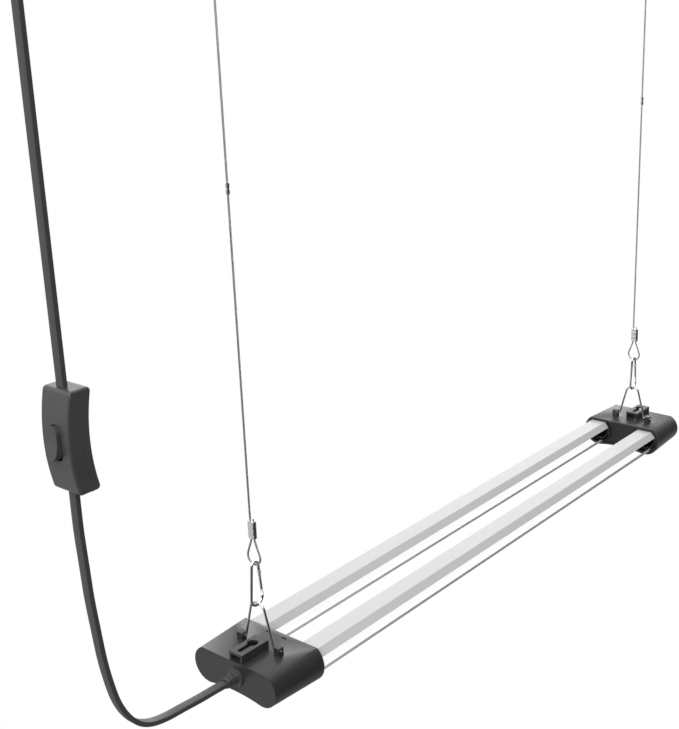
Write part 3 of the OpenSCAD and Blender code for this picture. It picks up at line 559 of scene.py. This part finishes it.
class Workshop:
    """The loaded frame with the methods that every sub-assembly uses to make its pieces."""

    def __init__(self, frame: dict[str, Any], finishes: Finishes) -> None:
        """Keeps the frame and the finishes.

        Args:
            finishes: The built finishes.
        """
        self.nodes: dict[str, Piece] = frame["nodes"]
        self.slots = {part["node"]: part["material_slot"] for part in frame["record"]["subparts"]}
        self.finishes = finishes

    def settle(self, name: str, mesh: Mesh, *nodes: str, smooth: float = 35.0) -> Piece:
        """Makes a piece of a mesh, in the place of CAD nodes, shaded and dressed as the first of them.

        Args:
            name: The piece's name.
            mesh: Its mesh, with its place in it and perhaps with materials of its own.
            nodes: The nodes that it stands for.
            smooth: Angle in degrees past which an edge stays sharp.

        Returns:
            The piece.
        """
        made = linked(name, mesh)
        mesh.shade_smooth()
        mesh.set_sharp_from_angle(angle=math.radians(smooth))
        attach(made, self.nodes[nodes[0]]["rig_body"])
        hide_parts(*nodes)
        if mesh.materials:
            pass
        else:
            self.finishes.dress(made, self.slots[nodes[0]])
        LOG.info("%s stands for %s", name, ", ".join(nodes))
        return made

    def finish(self, *nodes: str) -> None:
        """Gives CAD nodes that keep their own mesh the finish of their slot.

        Args:
            nodes: The nodes' names.
        """
        for node in nodes:
            self.finishes.dress(self.nodes[node], self.slots[node])
            LOG.info("%s keeps its own mesh", node)

    def copy(self, node: str) -> Mesh:
        """Copies a node's mesh, bare of its material, merged and with flat faces joined.

        Args:
            node: The node's name.

        Returns:
            The copy, which the caller may change.
        """
        mesh = self.nodes[node].data.copy()
        mesh.materials.clear()
        work = bmesh.new()
        work.from_mesh(mesh)
        bmesh.ops.remove_doubles(work, verts=work.verts, dist=SAME_PLACE)
        flat = {"angle_limit": math.radians(FLAT_UNDER), "delimit": {"NORMAL"}}
        bmesh.ops.dissolve_limit(work, verts=work.verts, edges=work.edges, **flat)
        work.to_mesh(mesh)
        work.free()
        return mesh

    def _bevelled(self, node: str, mesh: Mesh, **settings: Any) -> Piece:
        """Puts a copy of a node in its place, with a bevel.

        Args:
            node: The node's name.
            mesh: The copy of its mesh.
            settings: The bevel's properties.

        Returns:
            The piece.
        """
        made = self.settle(f"{node}_moulded", mesh, node)
        bevel = made.modifiers.new("edges", "BEVEL")
        bevel.harden_normals = True
        for name, setting in settings.items():
            setattr(bevel, name, setting)
        return made

    def rounded(self, node: str, width: float, segments: int = 2, angle: float = 32.0) -> Piece:
        """Copies a node with its edges that are sharper than an angle in degrees rounded."""
        limit = {"limit_method": "ANGLE", "angle_limit": math.radians(angle)}
        return self._bevelled(node, self.copy(node), width=width, segments=segments, **limit)

    def softened(self, node: str, width: float, share: EdgeShare, segments: int = 4) -> Piece:
        """Copies a node with its edges rounded, each by its own share of a width.

        Args:
            node: The node's name.
            width: The widest rounding.
            share: Gives an edge's share of the width, from 0 to 1.
            segments: Steps across the rounding.

        Returns:
            The piece, in the node's place.
        """
        mesh = self.copy(node)
        work = bmesh.new()
        work.from_mesh(mesh)
        weight = work.edges.layers.float.new("bevel_weight_edge")
        for edge in work.edges:
            if len(edge.link_faces) == 2:
                edge[weight] = share(edge)
        work.to_mesh(mesh)
        work.free()
        limit = {"limit_method": "WEIGHT", "use_clamp_overlap": False}
        return self._bevelled(node, mesh, width=width, segments=segments, **limit)

    def smooth(self, node: str, angle: float = 40.0) -> Piece:
        """Copies a node with smooth shading and its shape as it is."""
        return self.settle(f"{node}_drawn", self.copy(node), node, smooth=angle)

    def grow(
        self, name: str, tree: GeometryTree, seed: Mesh, node: str, smooth: float = 35.0
    ) -> Piece:
        """Runs a Geometry Nodes tree on a seed mesh and puts the plain result in a node's place.

        Args:
            name: The piece's name.
            tree: The built tree with its input values.
            seed: The mesh that the tree starts from.
            node: The node that the piece stands for.
            smooth: Angle in degrees past which an edge stays sharp.

        Returns:
            The piece.
        """
        host = linked(f"{name}_host", seed)
        modifier = host.modifiers.new(name, "NODES")
        modifier.node_group = tree.tree
        for identifier, given in tree.given.items():
            modifier[identifier] = given
        graph = bpy.context.evaluated_depsgraph_get()
        mesh = bpy.data.meshes.new_from_object(host.evaluated_get(graph), depsgraph=graph)
        mesh.name = name
        host.modifiers.remove(modifier)
        bpy.data.objects.remove(host)
        return self.settle(name, mesh, node, smooth=smooth)


def line_mesh(name: str, points: Iterable[Vector]) -> Mesh:
    """Makes a mesh of points joined by edges.

    Args:
        name: The mesh's name.
        points: The points, first to last.

    Returns:
        The mesh.
    """
    places = list(points)
    mesh = bpy.data.meshes.new(name)
    mesh.from_pydata(places, [(i, i + 1) for i in range(len(places) - 1)], [])
    return mesh


def lofted(name: str, rings: Sequence[Sequence[Vector]]) -> Mesh:
    """Joins rings of points into one closed skin.

    Args:
        name: The mesh's name.
        rings: Rings of equally many points, all turning the same way.

    Returns:
        The mesh, with its faces outwards.
    """
    work = bmesh.new()
    rows = [[work.verts.new(point) for point in ring] for ring in rings]
    count = len(rings[0])
    for low, high in zip(rows, rows[1:], strict=False):
        for i in range(count):
            work.faces.new((low[i], low[(i + 1) % count], high[(i + 1) % count], high[i]))
    work.faces.new(rows[0][::-1])
    work.faces.new(rows[-1])
    bmesh.ops.recalc_face_normals(work, faces=work.faces)
    mesh = bpy.data.meshes.new(name)
    work.to_mesh(mesh)
    work.free()
    return mesh


def arc(centre: Pair, radius: float, start: float, end: float, steps: int) -> list[Pair]:
    """Gives places along a flat arc, from its start angle to its end angle."""
    turns = [start + (end - start) * i / steps for i in range(steps + 1)]
    return [(centre[0] + radius * math.cos(turn), centre[1] + radius * math.sin(turn)) for turn in turns]


def rounded_section(width: float, thickness: float, corner: float, steps: int = 4) -> list[Pair]:
    """Gives a rectangle with round corners.

    Args:
        width: Its width, along the first axis.
        thickness: Its thickness, along the second.
        corner: Radius of its corners.
        steps: Points along each corner, less one.

    Returns:
        The points of the outline.
    """
    across, up = width / 2 - corner, thickness / 2 - corner
    out = []
    for quarter, centre in enumerate(((across, up), (-across, up), (-across, -up), (across, -up))):
        out += arc(centre, corner, quarter * math.pi / 2, (quarter + 1) * math.pi / 2, steps)
    return out


def through(points: Sequence[Vector], steps: int) -> list[Vector]:
    """Runs a smooth curve through points.

    Args:
        points: The points, first to last.
        steps: Places between each pair of points.

    Returns:
        The places along the curve, with both ends.
    """
    ends = [points[0] * 2 - points[1], *points, points[-1] * 2 - points[-2]]
    out = []
    for a, b, c, d in zip(ends, ends[1:], ends[2:], ends[3:], strict=False):
        for step in range(steps):
            t = step / steps
            bent = (2 * a - 5 * b + 4 * c - d) * t**2 + (3 * b - a - 3 * c + d) * t**3
            out.append(0.5 * (2 * b + (c - a) * t + bent))
    return [*out, points[-1]]


@dataclass
class EndCaps:
    """Both moulded caps with their socket plates."""

    workshop: Workshop
    cap_edge: float = 0.45 * MM
    plate_edge: float = 0.22 * MM

    def build(self) -> None:
        """Makes the caps and plates with their moulded edges."""
        for end in End:
            self.workshop.rounded(f"{end.cap}_end_cap", self.cap_edge)
            self.workshop.rounded(f"{end.cap}_socket_plate", self.plate_edge)


@dataclass
class LampTube:
    """One tube: housing, clear cover, board and its row of diodes."""

    workshop: Workshop
    side: Side
    case_size: Triple = (3.5 * MM, 2.8 * MM, 0.8 * MM)
    lens_radius: float = 1.1 * MM
    lens_proud: float = 0.1 * MM
    lens_sides: int = 20
    pitch: float = 15 * MM
    housing_edge: float = 0.2 * MM
    cover_smooth: float = 35.0

    def build(self) -> None:
        """Makes the tube's pieces."""
        name = self.side.value
        self.workshop.rounded(f"{name}_housing", self.housing_edge)
        self.workshop.smooth(f"{name}_clear_cover", self.cover_smooth)
        self.workshop.finish(f"{name}_led_board")
        self._diodes()

    def _diodes(self) -> None:
        """Makes the row of diodes: a white case with a round lens below."""
        node = f"{self.side.value}_leds"
        low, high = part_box(node)
        length, width, height = self.case_size
        tree = GeometryTree("diode_row")
        count = tree.input("Diodes", "NodeSocketInt", round((high.x - low.x - length) / self.pitch) + 1)
        step = tree.input("Pitch", "NodeSocketFloat", self.pitch)
        radius = tree.input("Lens radius", "NodeSocketFloat", self.lens_radius)
        offset = tree.made("ShaderNodeCombineXYZ", {0: step})
        start = Vector((low.x + length / 2, (low.y + high.y) / 2, high.z - height / 2))
        spread = {"Count": count, "Start Location": start, "Offset": offset}
        line = tree.made("GeometryNodeMeshLine", spread)
        case = tree.made("GeometryNodeMeshCube", {"Size": (length, width, height)})
        disc_size = {"Vertices": self.lens_sides, "Radius": radius, "Depth": self.lens_proud}
        disc = tree.made("GeometryNodeMeshCylinder", disc_size)
        below = (0.0, 0.0, -(height + self.lens_proud) / 2)
        lens = tree.made("GeometryNodeTransform", {0: disc, "Translation": below})
        finishes = self.workshop.finishes
        case_dressed = tree.dressed(case, finishes.led_case)
        lens_dressed = tree.dressed(lens, finishes.materials["led_yellow"])
        diode = tree.joined(case_dressed, lens_dressed)
        tree.end(tree.made("GeometryNodeInstanceOnPoints", {"Points": line, "Instance": diode}))
        self.workshop.grow(f"{node}_row", tree, bpy.data.meshes.new("seed"), node, smooth=30.0)


@dataclass
class Driver:
    """The driver in the feed cap and its leads."""

    workshop: Workshop

    def build(self) -> None:
        """Finishes the driver's pieces, which stay as they are in the model."""
        self.workshop.finish("driver_board", "driver_transformer", "driver_capacitors", "lead_wires")


@dataclass
class Hanger:
    """One hanger: screw hook, twisted cable, sleeves, joint, snap hook, gate and bail."""

    workshop: Workshop
    end: End
    strands: int = 6
    strand_sides: int = 6
    strand_step: float = 0.7 * MM
    cable_radius: float = 0.75 * MM
    # The model's bends are this much fuller than its straight stretches
    fuller: float = 0.05 * MM
    strand_radius: float = 0.27 * MM
    lay_pitch: float = 7 * MM
    loop_radius: float = 5.9 * MM
    loop_steps: int = 28
    bend_radius: float = 8 * MM
    bend_steps: int = 4
    loop_rise: float = 14 * MM
    strand_y: float = 1.5 * MM
    tail: float = 14.5 * MM
    sleeve_length: float = 13 * MM
    sleeve_width: float = 3.9 * MM
    sleeve_breadth: float = 6.9 * MM
    sleeve_rings: int = 40
    # Shares of the sleeve's own width, but for the lip's reach
    crimp_depth: float = 0.16
    crimp_spread: float = 0.02
    corner_share: float = 0.48
    lip_depth: float = 0.1
    lip_reach: float = 0.25 * MM
    crimps: int = 3
    rod_radius: float = 1.75 * MM
    thread_pitch: float = 1.5 * MM
    thread_depth: float = 0.34 * MM
    thread_start: float = 2 * MM
    thread_steps: int = 24
    thread_sides: int = 3
    tip: float = 4 * MM
    # Place along the light, taken from the cable
    x: float = field(init=False, default=0.0)

    def name(self, part: str) -> str:
        """Gives the node's name of a part at this end."""
        return f"{self.end.value}_{part}"

    def build(self) -> None:
        """Makes the hanger's pieces."""
        low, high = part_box(self.name("cable"))
        self.x = (low.x + high.x) / 2
        self._screw_hook()
        self._cable()
        self._sleeves()
        for part in ("cable_joint", "snap_hook", "hook_gate", "bail"):
            self.workshop.smooth(self.name(part))

    def _loop(self, centre: float, way: int) -> list[Vector]:
        """Traces a cable's round end, from the strand that carries on to the end of its tail.

        Args:
            centre: Height of the loop's round part.
            way: 1 where the strands leave upwards, and -1 downwards.

        Returns:
            Places along the strand.
        """
        bend_at = (self.strand_y + self.bend_radius, self.loop_rise)
        reach = self.loop_radius + self.bend_radius
        turn = math.atan2(bend_at[1], bend_at[0]) - math.acos(reach / math.hypot(*bend_at))
        bend = arc(bend_at, self.bend_radius, math.pi, math.pi + turn, self.bend_steps)
        eye = arc((0.0, 0.0), self.loop_radius, turn, -math.pi - turn, self.loop_steps)
        back = [(-y, z) for y, z in reversed(bend)]
        flat = [*bend, *eye, *back, (-self.strand_y, self.loop_rise + self.tail)]
        return [Vector((self.x, y, centre + way * z)) for y, z in flat]

    def _cable(self) -> None:
        """Twists the cable's strands along its loops and its straight run."""
        node = self.name("cable")
        low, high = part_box(node)
        outside = self.cable_radius + self.fuller + self.loop_radius
        lower = self._loop(low.z + outside, 1)
        upper = self._loop(high.z - outside, -1)
        path = line_mesh(f"{node}_path", [*reversed(lower), *upper])
        tree = GeometryTree("twisted_cable")
        count = tree.input("Strands", "NodeSocketInt", self.strands)
        pitch = tree.input("Lay pitch", "NodeSocketFloat", self.lay_pitch)
        lay = tree.input("Lay radius", "NodeSocketFloat", self.cable_radius - self.strand_radius)
        thick = tree.input("Strand radius", "NodeSocketFloat", self.strand_radius)
        curve = tree.made("GeometryNodeMeshToCurve", {0: tree.inside.outputs[0]})
        length = {0: curve, "Length": self.strand_step}
        fine = tree.made("GeometryNodeResampleCurve", length, mode="LENGTH")
        whole = {"domain": "SPLINE"}
        copies = tree.node("GeometryNodeDuplicateElements", whole, {0: fine, "Amount": count})
        along = tree.value("GeometryNodeSplineParameter", {}, {}, "Length")
        share = Value(tree, copies.outputs["Duplicate Index"]) / count
        angle = (along / pitch + share) * math.tau
        normal = tree.made("GeometryNodeInputNormal", {})
        across = tree.vector("CROSS_PRODUCT", tree.made("GeometryNodeInputTangent", {}), normal)
        shift = tree.vector("ADD", tree.scaled(normal, angle.cosine()), tree.scaled(across, angle.sine()))
        offset = tree.scaled(shift, lay)
        laid = tree.made("GeometryNodeSetPosition", {0: copies.outputs[0], "Offset": offset})
        section = {"Resolution": self.strand_sides, "Radius": thick}
        wire = tree.made("GeometryNodeCurvePrimitiveCircle", section)
        skin = tree.made("GeometryNodeCurveToMesh", {0: laid, 1: wire, "Fill Caps": True})
        tree.end(tree.dressed(skin, self.workshop.finishes.materials["cable_steel"]))
        self.workshop.grow(f"{node}_strands", tree, path, node, smooth=80.0)

    def _sleeves(self) -> None:
        """Makes both ferrules with their crimped waists, as one piece."""
        node = self.name("ferrules")
        low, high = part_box(node)
        parts = bmesh.new()
        for base in (low.z, high.z - self.sleeve_length):
            rings = [self._sleeve_ring(base, i / self.sleeve_rings) for i in range(self.sleeve_rings + 1)]
            parts.from_mesh(lofted("sleeve", rings))
        mesh = bpy.data.meshes.new(f"{node}_crimped")
        parts.to_mesh(mesh)
        parts.free()
        self.workshop.settle(f"{node}_crimped", mesh, node, smooth=50.0)

    def _sleeve_ring(self, base: float, share: float) -> list[Vector]:
        """Gives one ring of a ferrule.

        Args:
            base: Height of the ferrule's lower end.
            share: How far up the ferrule the ring lies, from 0 to 1.

        Returns:
            The ring's points.
        """
        pressed = 0.5 - 0.5 * math.cos(math.tau * self.crimps * share)
        end = min(share, 1 - share) * self.sleeve_length
        lip = 1 - self.lip_depth * math.exp(-end / self.lip_reach)
        breadth = self.sleeve_breadth * (1 - self.crimp_spread * (1 - pressed)) * lip
        width = self.sleeve_width * (1 - self.crimp_depth * pressed) * lip
        outline = rounded_section(breadth, width, width * self.corner_share, steps=6)
        return [Vector((self.x + b, a, base + share * self.sleeve_length)) for a, b in outline]

    def _screw_hook(self) -> None:
        """Adds a wood thread to the screw hook's shank."""
        node = self.name("ceiling_hook")
        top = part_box(node)[1].z
        run = top - self.tip - self.thread_start
        tree = GeometryTree("wood_thread")
        depth = tree.input("Depth", "NodeSocketFloat", self.thread_depth)
        turns = tree.input("Turns", "NodeSocketFloat", run / self.thread_pitch)
        steps = {"Resolution": self.thread_steps, "Rotations": turns, "Height": run}
        rod = {"Start Radius": self.rod_radius, "End Radius": self.rod_radius}
        spiral = tree.made("GeometryNodeCurveSpiral", {**steps, **rod})
        section = {"Resolution": self.thread_sides, "Radius": depth}
        ridge = tree.made("GeometryNodeCurvePrimitiveCircle", section)
        skin = tree.made("GeometryNodeCurveToMesh", {0: spiral, 1: ridge, "Fill Caps": True})
        up = (self.x, 0.0, self.thread_start)
        placed = tree.made("GeometryNodeTransform", {0: skin, "Translation": up})
        whole = tree.joined(tree.inside.outputs[0], placed)
        tree.end(tree.dressed(whole, self.workshop.finishes.materials["hook_steel"]))
        self.workshop.grow(f"{node}_threaded", tree, self.workshop.copy(node), node)


@dataclass
class InlineSwitch:
    """The rocker switch on the cord."""

    workshop: Workshop
    shell_edge: float = 1.6 * MM
    fine_share: float = 0.12
    # An edge is left sharp below this angle in degrees
    sharp_under: float = 40.0
    side_depth: float = 0.1 * MM
    side_slant: float = 0.9
    seam_slant: float = 0.5
    rocker_edge: float = 0.5 * MM
    pieces: list[Piece] = field(default_factory=list)

    def build(self) -> None:
        """Makes the switch's pieces and keeps them for the cord that carries them."""
        self.pieces += [
            self.workshop.softened("switch_front_shell", self.shell_edge, self._shell_share(-1)),
            self.workshop.softened("switch_back_shell", self.shell_edge, self._shell_share(1)),
            self.workshop.rounded("switch_rocker", self.rocker_edge, segments=3, angle=self.sharp_under),
        ]
        self.workshop.finish("switch_contacts", "switch_screws")
        self.pieces += [self.workshop.nodes["switch_contacts"], self.workshop.nodes["switch_screws"]]

    def _shell_share(self, out: int) -> EdgeShare:
        """Tells the long outer edges of a shell, which are well rounded, from its fine ones.

        Args:
            out: -1 for the shell that faces the feed end's side, and 1 for the other.

        Returns:
            What gives each edge's share of the rounding.
        """
        low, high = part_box("switch_front_shell")
        middle, half = (low.y + high.y) / 2, (high.y - low.y) / 2

        def share(edge: bmesh.types.BMEdge) -> float:
            """Gives one edge's share of the rounding.

            Args:
                edge: An edge between two faces.

            Returns:
                Its share, from 0 to 1.
            """
            if edge.calc_face_angle(0.0) < math.radians(self.sharp_under):
                return 0.0
            normals = [face.normal for face in edge.link_faces]
            across, along = sorted(normals, key=lambda normal: -abs(normal.y))
            depths = [abs(abs(corner.co.y - middle) - half) for corner in edge.verts]
            at_side = max(depths) < self.side_depth
            at_seam = along.x * out < -self.seam_slant
            long_edge = at_side and abs(across.y) > self.side_slant and not at_seam
            return 1.0 if long_edge else self.fine_share

        return share


@dataclass
class PowerCord:
    """The flat cord with its gland, coil, tie and plug."""

    workshop: Workshop
    width: float = 6.4 * MM
    thickness: float = 3.4 * MM
    corner: float = 0.4 * MM
    coil_centre: Pair = (-0.151, 0.505)
    coil_radius: float = 0.036
    coil_step: float = 0.0055
    coil_layer: float = 0.0076
    coil_turns: float = 6.5
    coil_climb: float = 0.5
    coil_lead: float = 0.005
    coil_tail: float = 0.026
    coil_places: int = 48
    gland_edge: float = 0.25 * MM
    tie_edge: float = 0.4 * MM
    plug_edge: float = 0.8 * MM
    lower_steps: int = 5
    upper_steps: int = 4
    # The same points as the model's, along X and above the tubes' axes
    lower_route: tuple[Pair, ...] = (
        (-0.0108, 0.001), (-0.020, 0.0015), (-0.035, 0.002), (-0.050, 0.003), (-0.065, 0.004),
        (-0.078, 0.007), (-0.088, 0.013), (-0.096, 0.023), (-0.102, 0.036), (-0.106, 0.052),
        (-0.109, 0.070), (-0.111, 0.090), (-0.113, 0.112), (-0.114, 0.134), (-0.115, 0.158),
        (-0.115, 0.18375),
    )  # fmt: skip
    # Above the switch the cord runs straight up, so heights are enough
    upper_x: float = -0.115
    upper_route: tuple[float, ...] = (
        0.24625, 0.262, 0.290, 0.320, 0.350, 0.380, 0.410, 0.440, 0.470, 0.500
    )  # fmt: skip

    def build(self, switch: InlineSwitch) -> None:
        """Makes the cord's pieces.

        Args:
            switch: The switch that the cord carries.
        """
        gland = self.workshop.rounded("cord_gland", self.gland_edge, angle=40.0)
        tie = self.workshop.rounded("coil_tie", self.tie_edge)
        plug = self.workshop.rounded("plug_body", self.plug_edge, segments=3, angle=25.0)
        self.workshop.finish("plug_blades")
        blades = self.workshop.nodes["plug_blades"]
        lower = [self._place(x, 0.0, z) for x, z in self.lower_route]
        upper = [self._place(self.upper_x, 0.0, z) for z in self.upper_route]
        near = through(lower, self.lower_steps)
        self._cord("lower_cord_jacket", near, ["lower_cord"], [gland, *switch.pieces])
        far = [*through(upper, self.upper_steps)[:-1], *self._coil()]
        self._cord("upper_cord_jacket", far, ["upper_cord", "cord_coil"], [tie, plug, blades])

    def _place(self, x: float, y: float, z: float) -> Vector:
        """Gives a place in the model's frame from one in the hanging plane."""
        return LIGHT_AT + Vector((x, HANG_Y + y, z))

    def _coil(self) -> list[Vector]:
        """Winds the coil: in and out again, with one climb between.

        Returns:
            Places along the coil, from its straight lead to its straight tail.
        """
        x, z = self.coil_centre
        steps = round(self.coil_turns * self.coil_places)
        out = [self._place(x + self.coil_radius, 0.0, z - self.coil_lead)]
        for i in range(steps + 1):
            turn = i / self.coil_places
            radius = self.coil_radius - self.coil_step * min(turn, self.coil_turns - turn)
            rise = max(0.0, min(1.0, (turn - self.coil_turns / 2) / self.coil_climb + 0.5))
            climb = self.coil_layer * rise * rise * (3 - 2 * rise)
            angle = math.tau * turn
            out.append(self._place(x + radius * math.cos(angle), climb, z + radius * math.sin(angle)))
        end = self._place(x - self.coil_radius, self.coil_layer, z - self.coil_tail)
        return [*out, out[-1].lerp(end, 0.5), end]

    def _cord(
        self, name: str, path: list[Vector], nodes: list[str], on_it: list[Piece]
    ) -> None:
        """Args:
            name: The piece's name.
            path: The centreline.
            nodes: The CAD nodes that it stands for.
            on_it: The pieces that it carries; not used.
        """
        outline = rounded_section(self.width, self.thickness, self.corner)
        rings = []
        for i, place in enumerate(path):
            ahead, behind = path[min(i + 1, len(path) - 1)], path[max(i - 1, 0)]
            way = Vector((ahead.x - behind.x, 0.0, ahead.z - behind.z)).normalized()
            side = Vector((-way.z, 0.0, way.x))
            rings.append([place + side * b + Vector((0.0, a, 0.0)) for a, b in outline])
        made = self.workshop.settle(name, lofted(name, rings), *nodes, smooth=60.0)
        length = sum((b - a).length for a, b in zip(path, path[1:], strict=False))
        tuple(path[0])
        [tuple(place) for place in path]
        LOG.info("%s is %.2f m long", name, length)


@dataclass
class PhotoCamera:
    """The camera, where the photograph was taken from."""

    # Place in the light's own frame, then angles, as solved from the photograph's straight edges
    place: Triple = (-0.4918, -0.5373, 0.4564)
    heading: float = 41.07
    fall: float = 17.77
    roll: float = 2.36
    focal_pixels: float = 1193.9
    long_side_pixels: float = 729.0
    sensor: float = 36.0
    clip: Pair = (0.01, 50.0)

    def build(self) -> None:
        """Makes the scene's camera."""
        data = bpy.data.cameras.new("photo_camera")
        data.sensor_width = self.sensor
        data.lens = self.focal_pixels * self.sensor / self.long_side_pixels
        data.clip_start, data.clip_end = self.clip
        camera = linked("photo_camera", data)
        heading, fall, roll = (math.radians(angle) for angle in (self.heading, self.fall, self.roll))
        level = math.cos(fall)
        ahead = Vector((level * math.cos(heading), level * math.sin(heading), -math.sin(fall)))
        right = ahead.cross(Vector((0.0, 0.0, 1.0))).normalized()
        down = ahead.cross(right)
        across = right * math.cos(roll) + down * math.sin(roll)
        below = down * math.cos(roll) - right * math.sin(roll)
        turn = Matrix((across, -below, -ahead)).transposed()
        camera.matrix_world = Matrix.Translation(LIGHT_AT + Vector(self.place)) @ turn.to_4x4()
        bpy.context.scene.camera = camera


@dataclass(frozen=True)
class Lamp:
    """A soft square lamp."""

    name: str
    place: Triple
    size: float
    watts: float

    def build(self, target: Vector) -> None:
        """Hangs the lamp.

        Args:
            target: What it faces.
        """
        data = bpy.data.lights.new(self.name, "AREA")
        data.size = self.size
        data.energy = self.watts
        lamp = linked(self.name, data)
        lamp.location = self.place
        lamp.rotation_euler = (target - Vector(self.place)).to_track_quat("-Z", "Y").to_euler()


@dataclass
class Studio:
    """Pale floor and surroundings, with soft light from above and from the feed end."""

    floor_z: float = -1.35
    floor_reach: float = 2.0
    floor_fade: Pair = (0.6, 1.2)
    floor_grey: float = 0.36
    floor_clouds: Noise = Noise(3.0)
    floor_mottle: float = 1.03
    floor_roughness: float = 0.9
    floor_glow: float = 0.7
    light_above: float = 0.55
    light_below: float = 0.25
    # Half the sine of elevation over which the light changes from below to above
    horizon: float = 0.08
    # What gloss sees: an open sky, the paler ground, and a dark side to the right of the camera
    sky: float = 1.1
    # Added low over the far side, which the tops show where they are grazed
    far_sky: float = 1.7
    far_heading: float = 41.0
    far_edge: Pair = (0.5, 0.85)
    far_top: Pair = (0.26, 0.46)
    ground: float = 0.6
    shade: float = 0.03
    shade_heading: float = 264.0
    shade_edge: Pair = (0.06, 0.32)
    shade_top: Pair = (0.6, 0.85)
    target: Triple = (0.25, 0.0, -0.5)
    lamps: tuple[Lamp, ...] = (
        Lamp("overhead", (-0.5, -0.2, 1.7), 2.2, 29.0),
        Lamp("key", (-2.1, -1.1, 1.1), 1.6, 50.0),
    )

    def build(self) -> None:
        """Makes the floor, the world and the lamps."""
        bpy.context.scene.view_settings.view_transform = "Standard"
        self._floor()
        self._world()
        for lamp in self.lamps:
            lamp.build(Vector(self.target))

    def _floor(self) -> None:
        """Lays the floor, which glows to the camera and fades out around the object's shadow."""
        mesh = bpy.data.meshes.new("floor")
        far = self.floor_reach
        corners = [(x, y, self.floor_z) for x, y in ((-far, -far), (far, -far), (far, far), (-far, far))]
        mesh.from_pydata(corners, [], [(0, 1, 2, 3)])
        floor = linked("floor", mesh)
        material = bpy.data.materials.new("floor_pale")
        shader = Shader(material)
        mottle = shader.noise(self.floor_clouds)
        middle = {0: shader.place(), 1: (self.target[0], 0.0, self.floor_z)}
        away = shader.value("ShaderNodeVectorMath", {"operation": "DISTANCE"}, middle, "Value")
        seen = shader.node("ShaderNodeLightPath", {}, {}).outputs["Is Camera Ray"]
        grey = (self.floor_grey,) * 3
        pale = (self.floor_grey * self.floor_mottle,) * 3
        shader.principled(
            {
                "Base Color": shader.blend(mottle, grey, pale),
                "Roughness": self.floor_roughness,
                "Specular IOR Level": 0.0,
                "Alpha": 1 - shader.ramp(away, *self.floor_fade),
                "Emission Color": shader.blend(Value(shader, seen), (0.0, 0.0, 0.0), (1.0, 1.0, 1.0)),
                "Emission Strength": self.floor_glow,
            }
        )
        mesh.materials.append(material)

    def _world(self) -> None:
        """Makes the world: even light, white to the camera, and with a dark side for gloss."""
        world = bpy.data.worlds.new("studio")
        bpy.context.scene.world = world
        # Gloss takes its light from its own rays alone, or the even light would mix with what it mirrors
        world.cycles.sampling_method = "NONE"
        shader = Shader(world)
        way = shader.node("ShaderNodeTexCoord", {}, {}).outputs["Generated"]
        dot = {"operation": "DOT_PRODUCT"}
        side, ahead = (
            shader.value("ShaderNodeVectorMath", dot, {0: way, 1: level_way(heading)}, "Value")
            for heading in (self.shade_heading, self.far_heading)
        )
        height = shader.value("ShaderNodeSeparateXYZ", {}, {0: way}, "Z")
        above = shader.ramp(height, -self.horizon, self.horizon)
        open_sky = self.ground + (self.sky - self.ground) * above
        dark = shader.ramp(side, *self.shade_edge) * (1 - shader.ramp(height, *self.shade_top))
        far = shader.ramp(ahead, *self.far_edge) * (1 - shader.ramp(height, *self.far_top)) * above
        glow = (1 - dark) * (open_sky + far * self.far_sky) + self.shade
        even = self.light_below + (self.light_above - self.light_below) * above
        rays = shader.node("ShaderNodeLightPath", {}, {}).outputs
        white = (1.0, 1.0, 1.0, 1.0)
        lit, mirrored, plain = (
            shader.node("ShaderNodeBackground", {}, {"Color": white, "Strength": strength}).outputs[0]
            for strength in (even, glow, 1.0)
        )
        gloss = {0: rays["Is Glossy Ray"], 1: lit, 2: mirrored}
        with_gloss = shader.node("ShaderNodeMixShader", {}, gloss).outputs[0]
        seen = Value(shader, rays["Is Camera Ray"]) + Value(shader, rays["Is Transmission Ray"])
        whole = shader.node("ShaderNodeMixShader", {}, {0: seen, 1: with_gloss, 2: plain}).outputs[0]
        shader.node("ShaderNodeOutputWorld", {}, {"Surface": whole})


def level_way(heading: float) -> Triple:
    """Gives the level direction at a heading in degrees from X."""
    turn = math.radians(heading)
    return math.cos(turn), math.sin(turn), 0.0


def main() -> None:
    """Loads the model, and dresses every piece."""
    logging.basicConfig(level=logging.INFO, format="%(message)s")
    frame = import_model()
    PhotoCamera().build()
    workshop = Workshop(frame, Finishes())
    switch = InlineSwitch(workshop)
    switch.build()
    PowerCord(workshop).build(switch)
    Studio().build()
    EndCaps(workshop).build()
    for side in Side:
        LampTube(workshop, side).build()
    Driver(workshop).build()
    for end in End:
        Hanger(workshop, end).build()


if __name__ == "__main__":
    main()
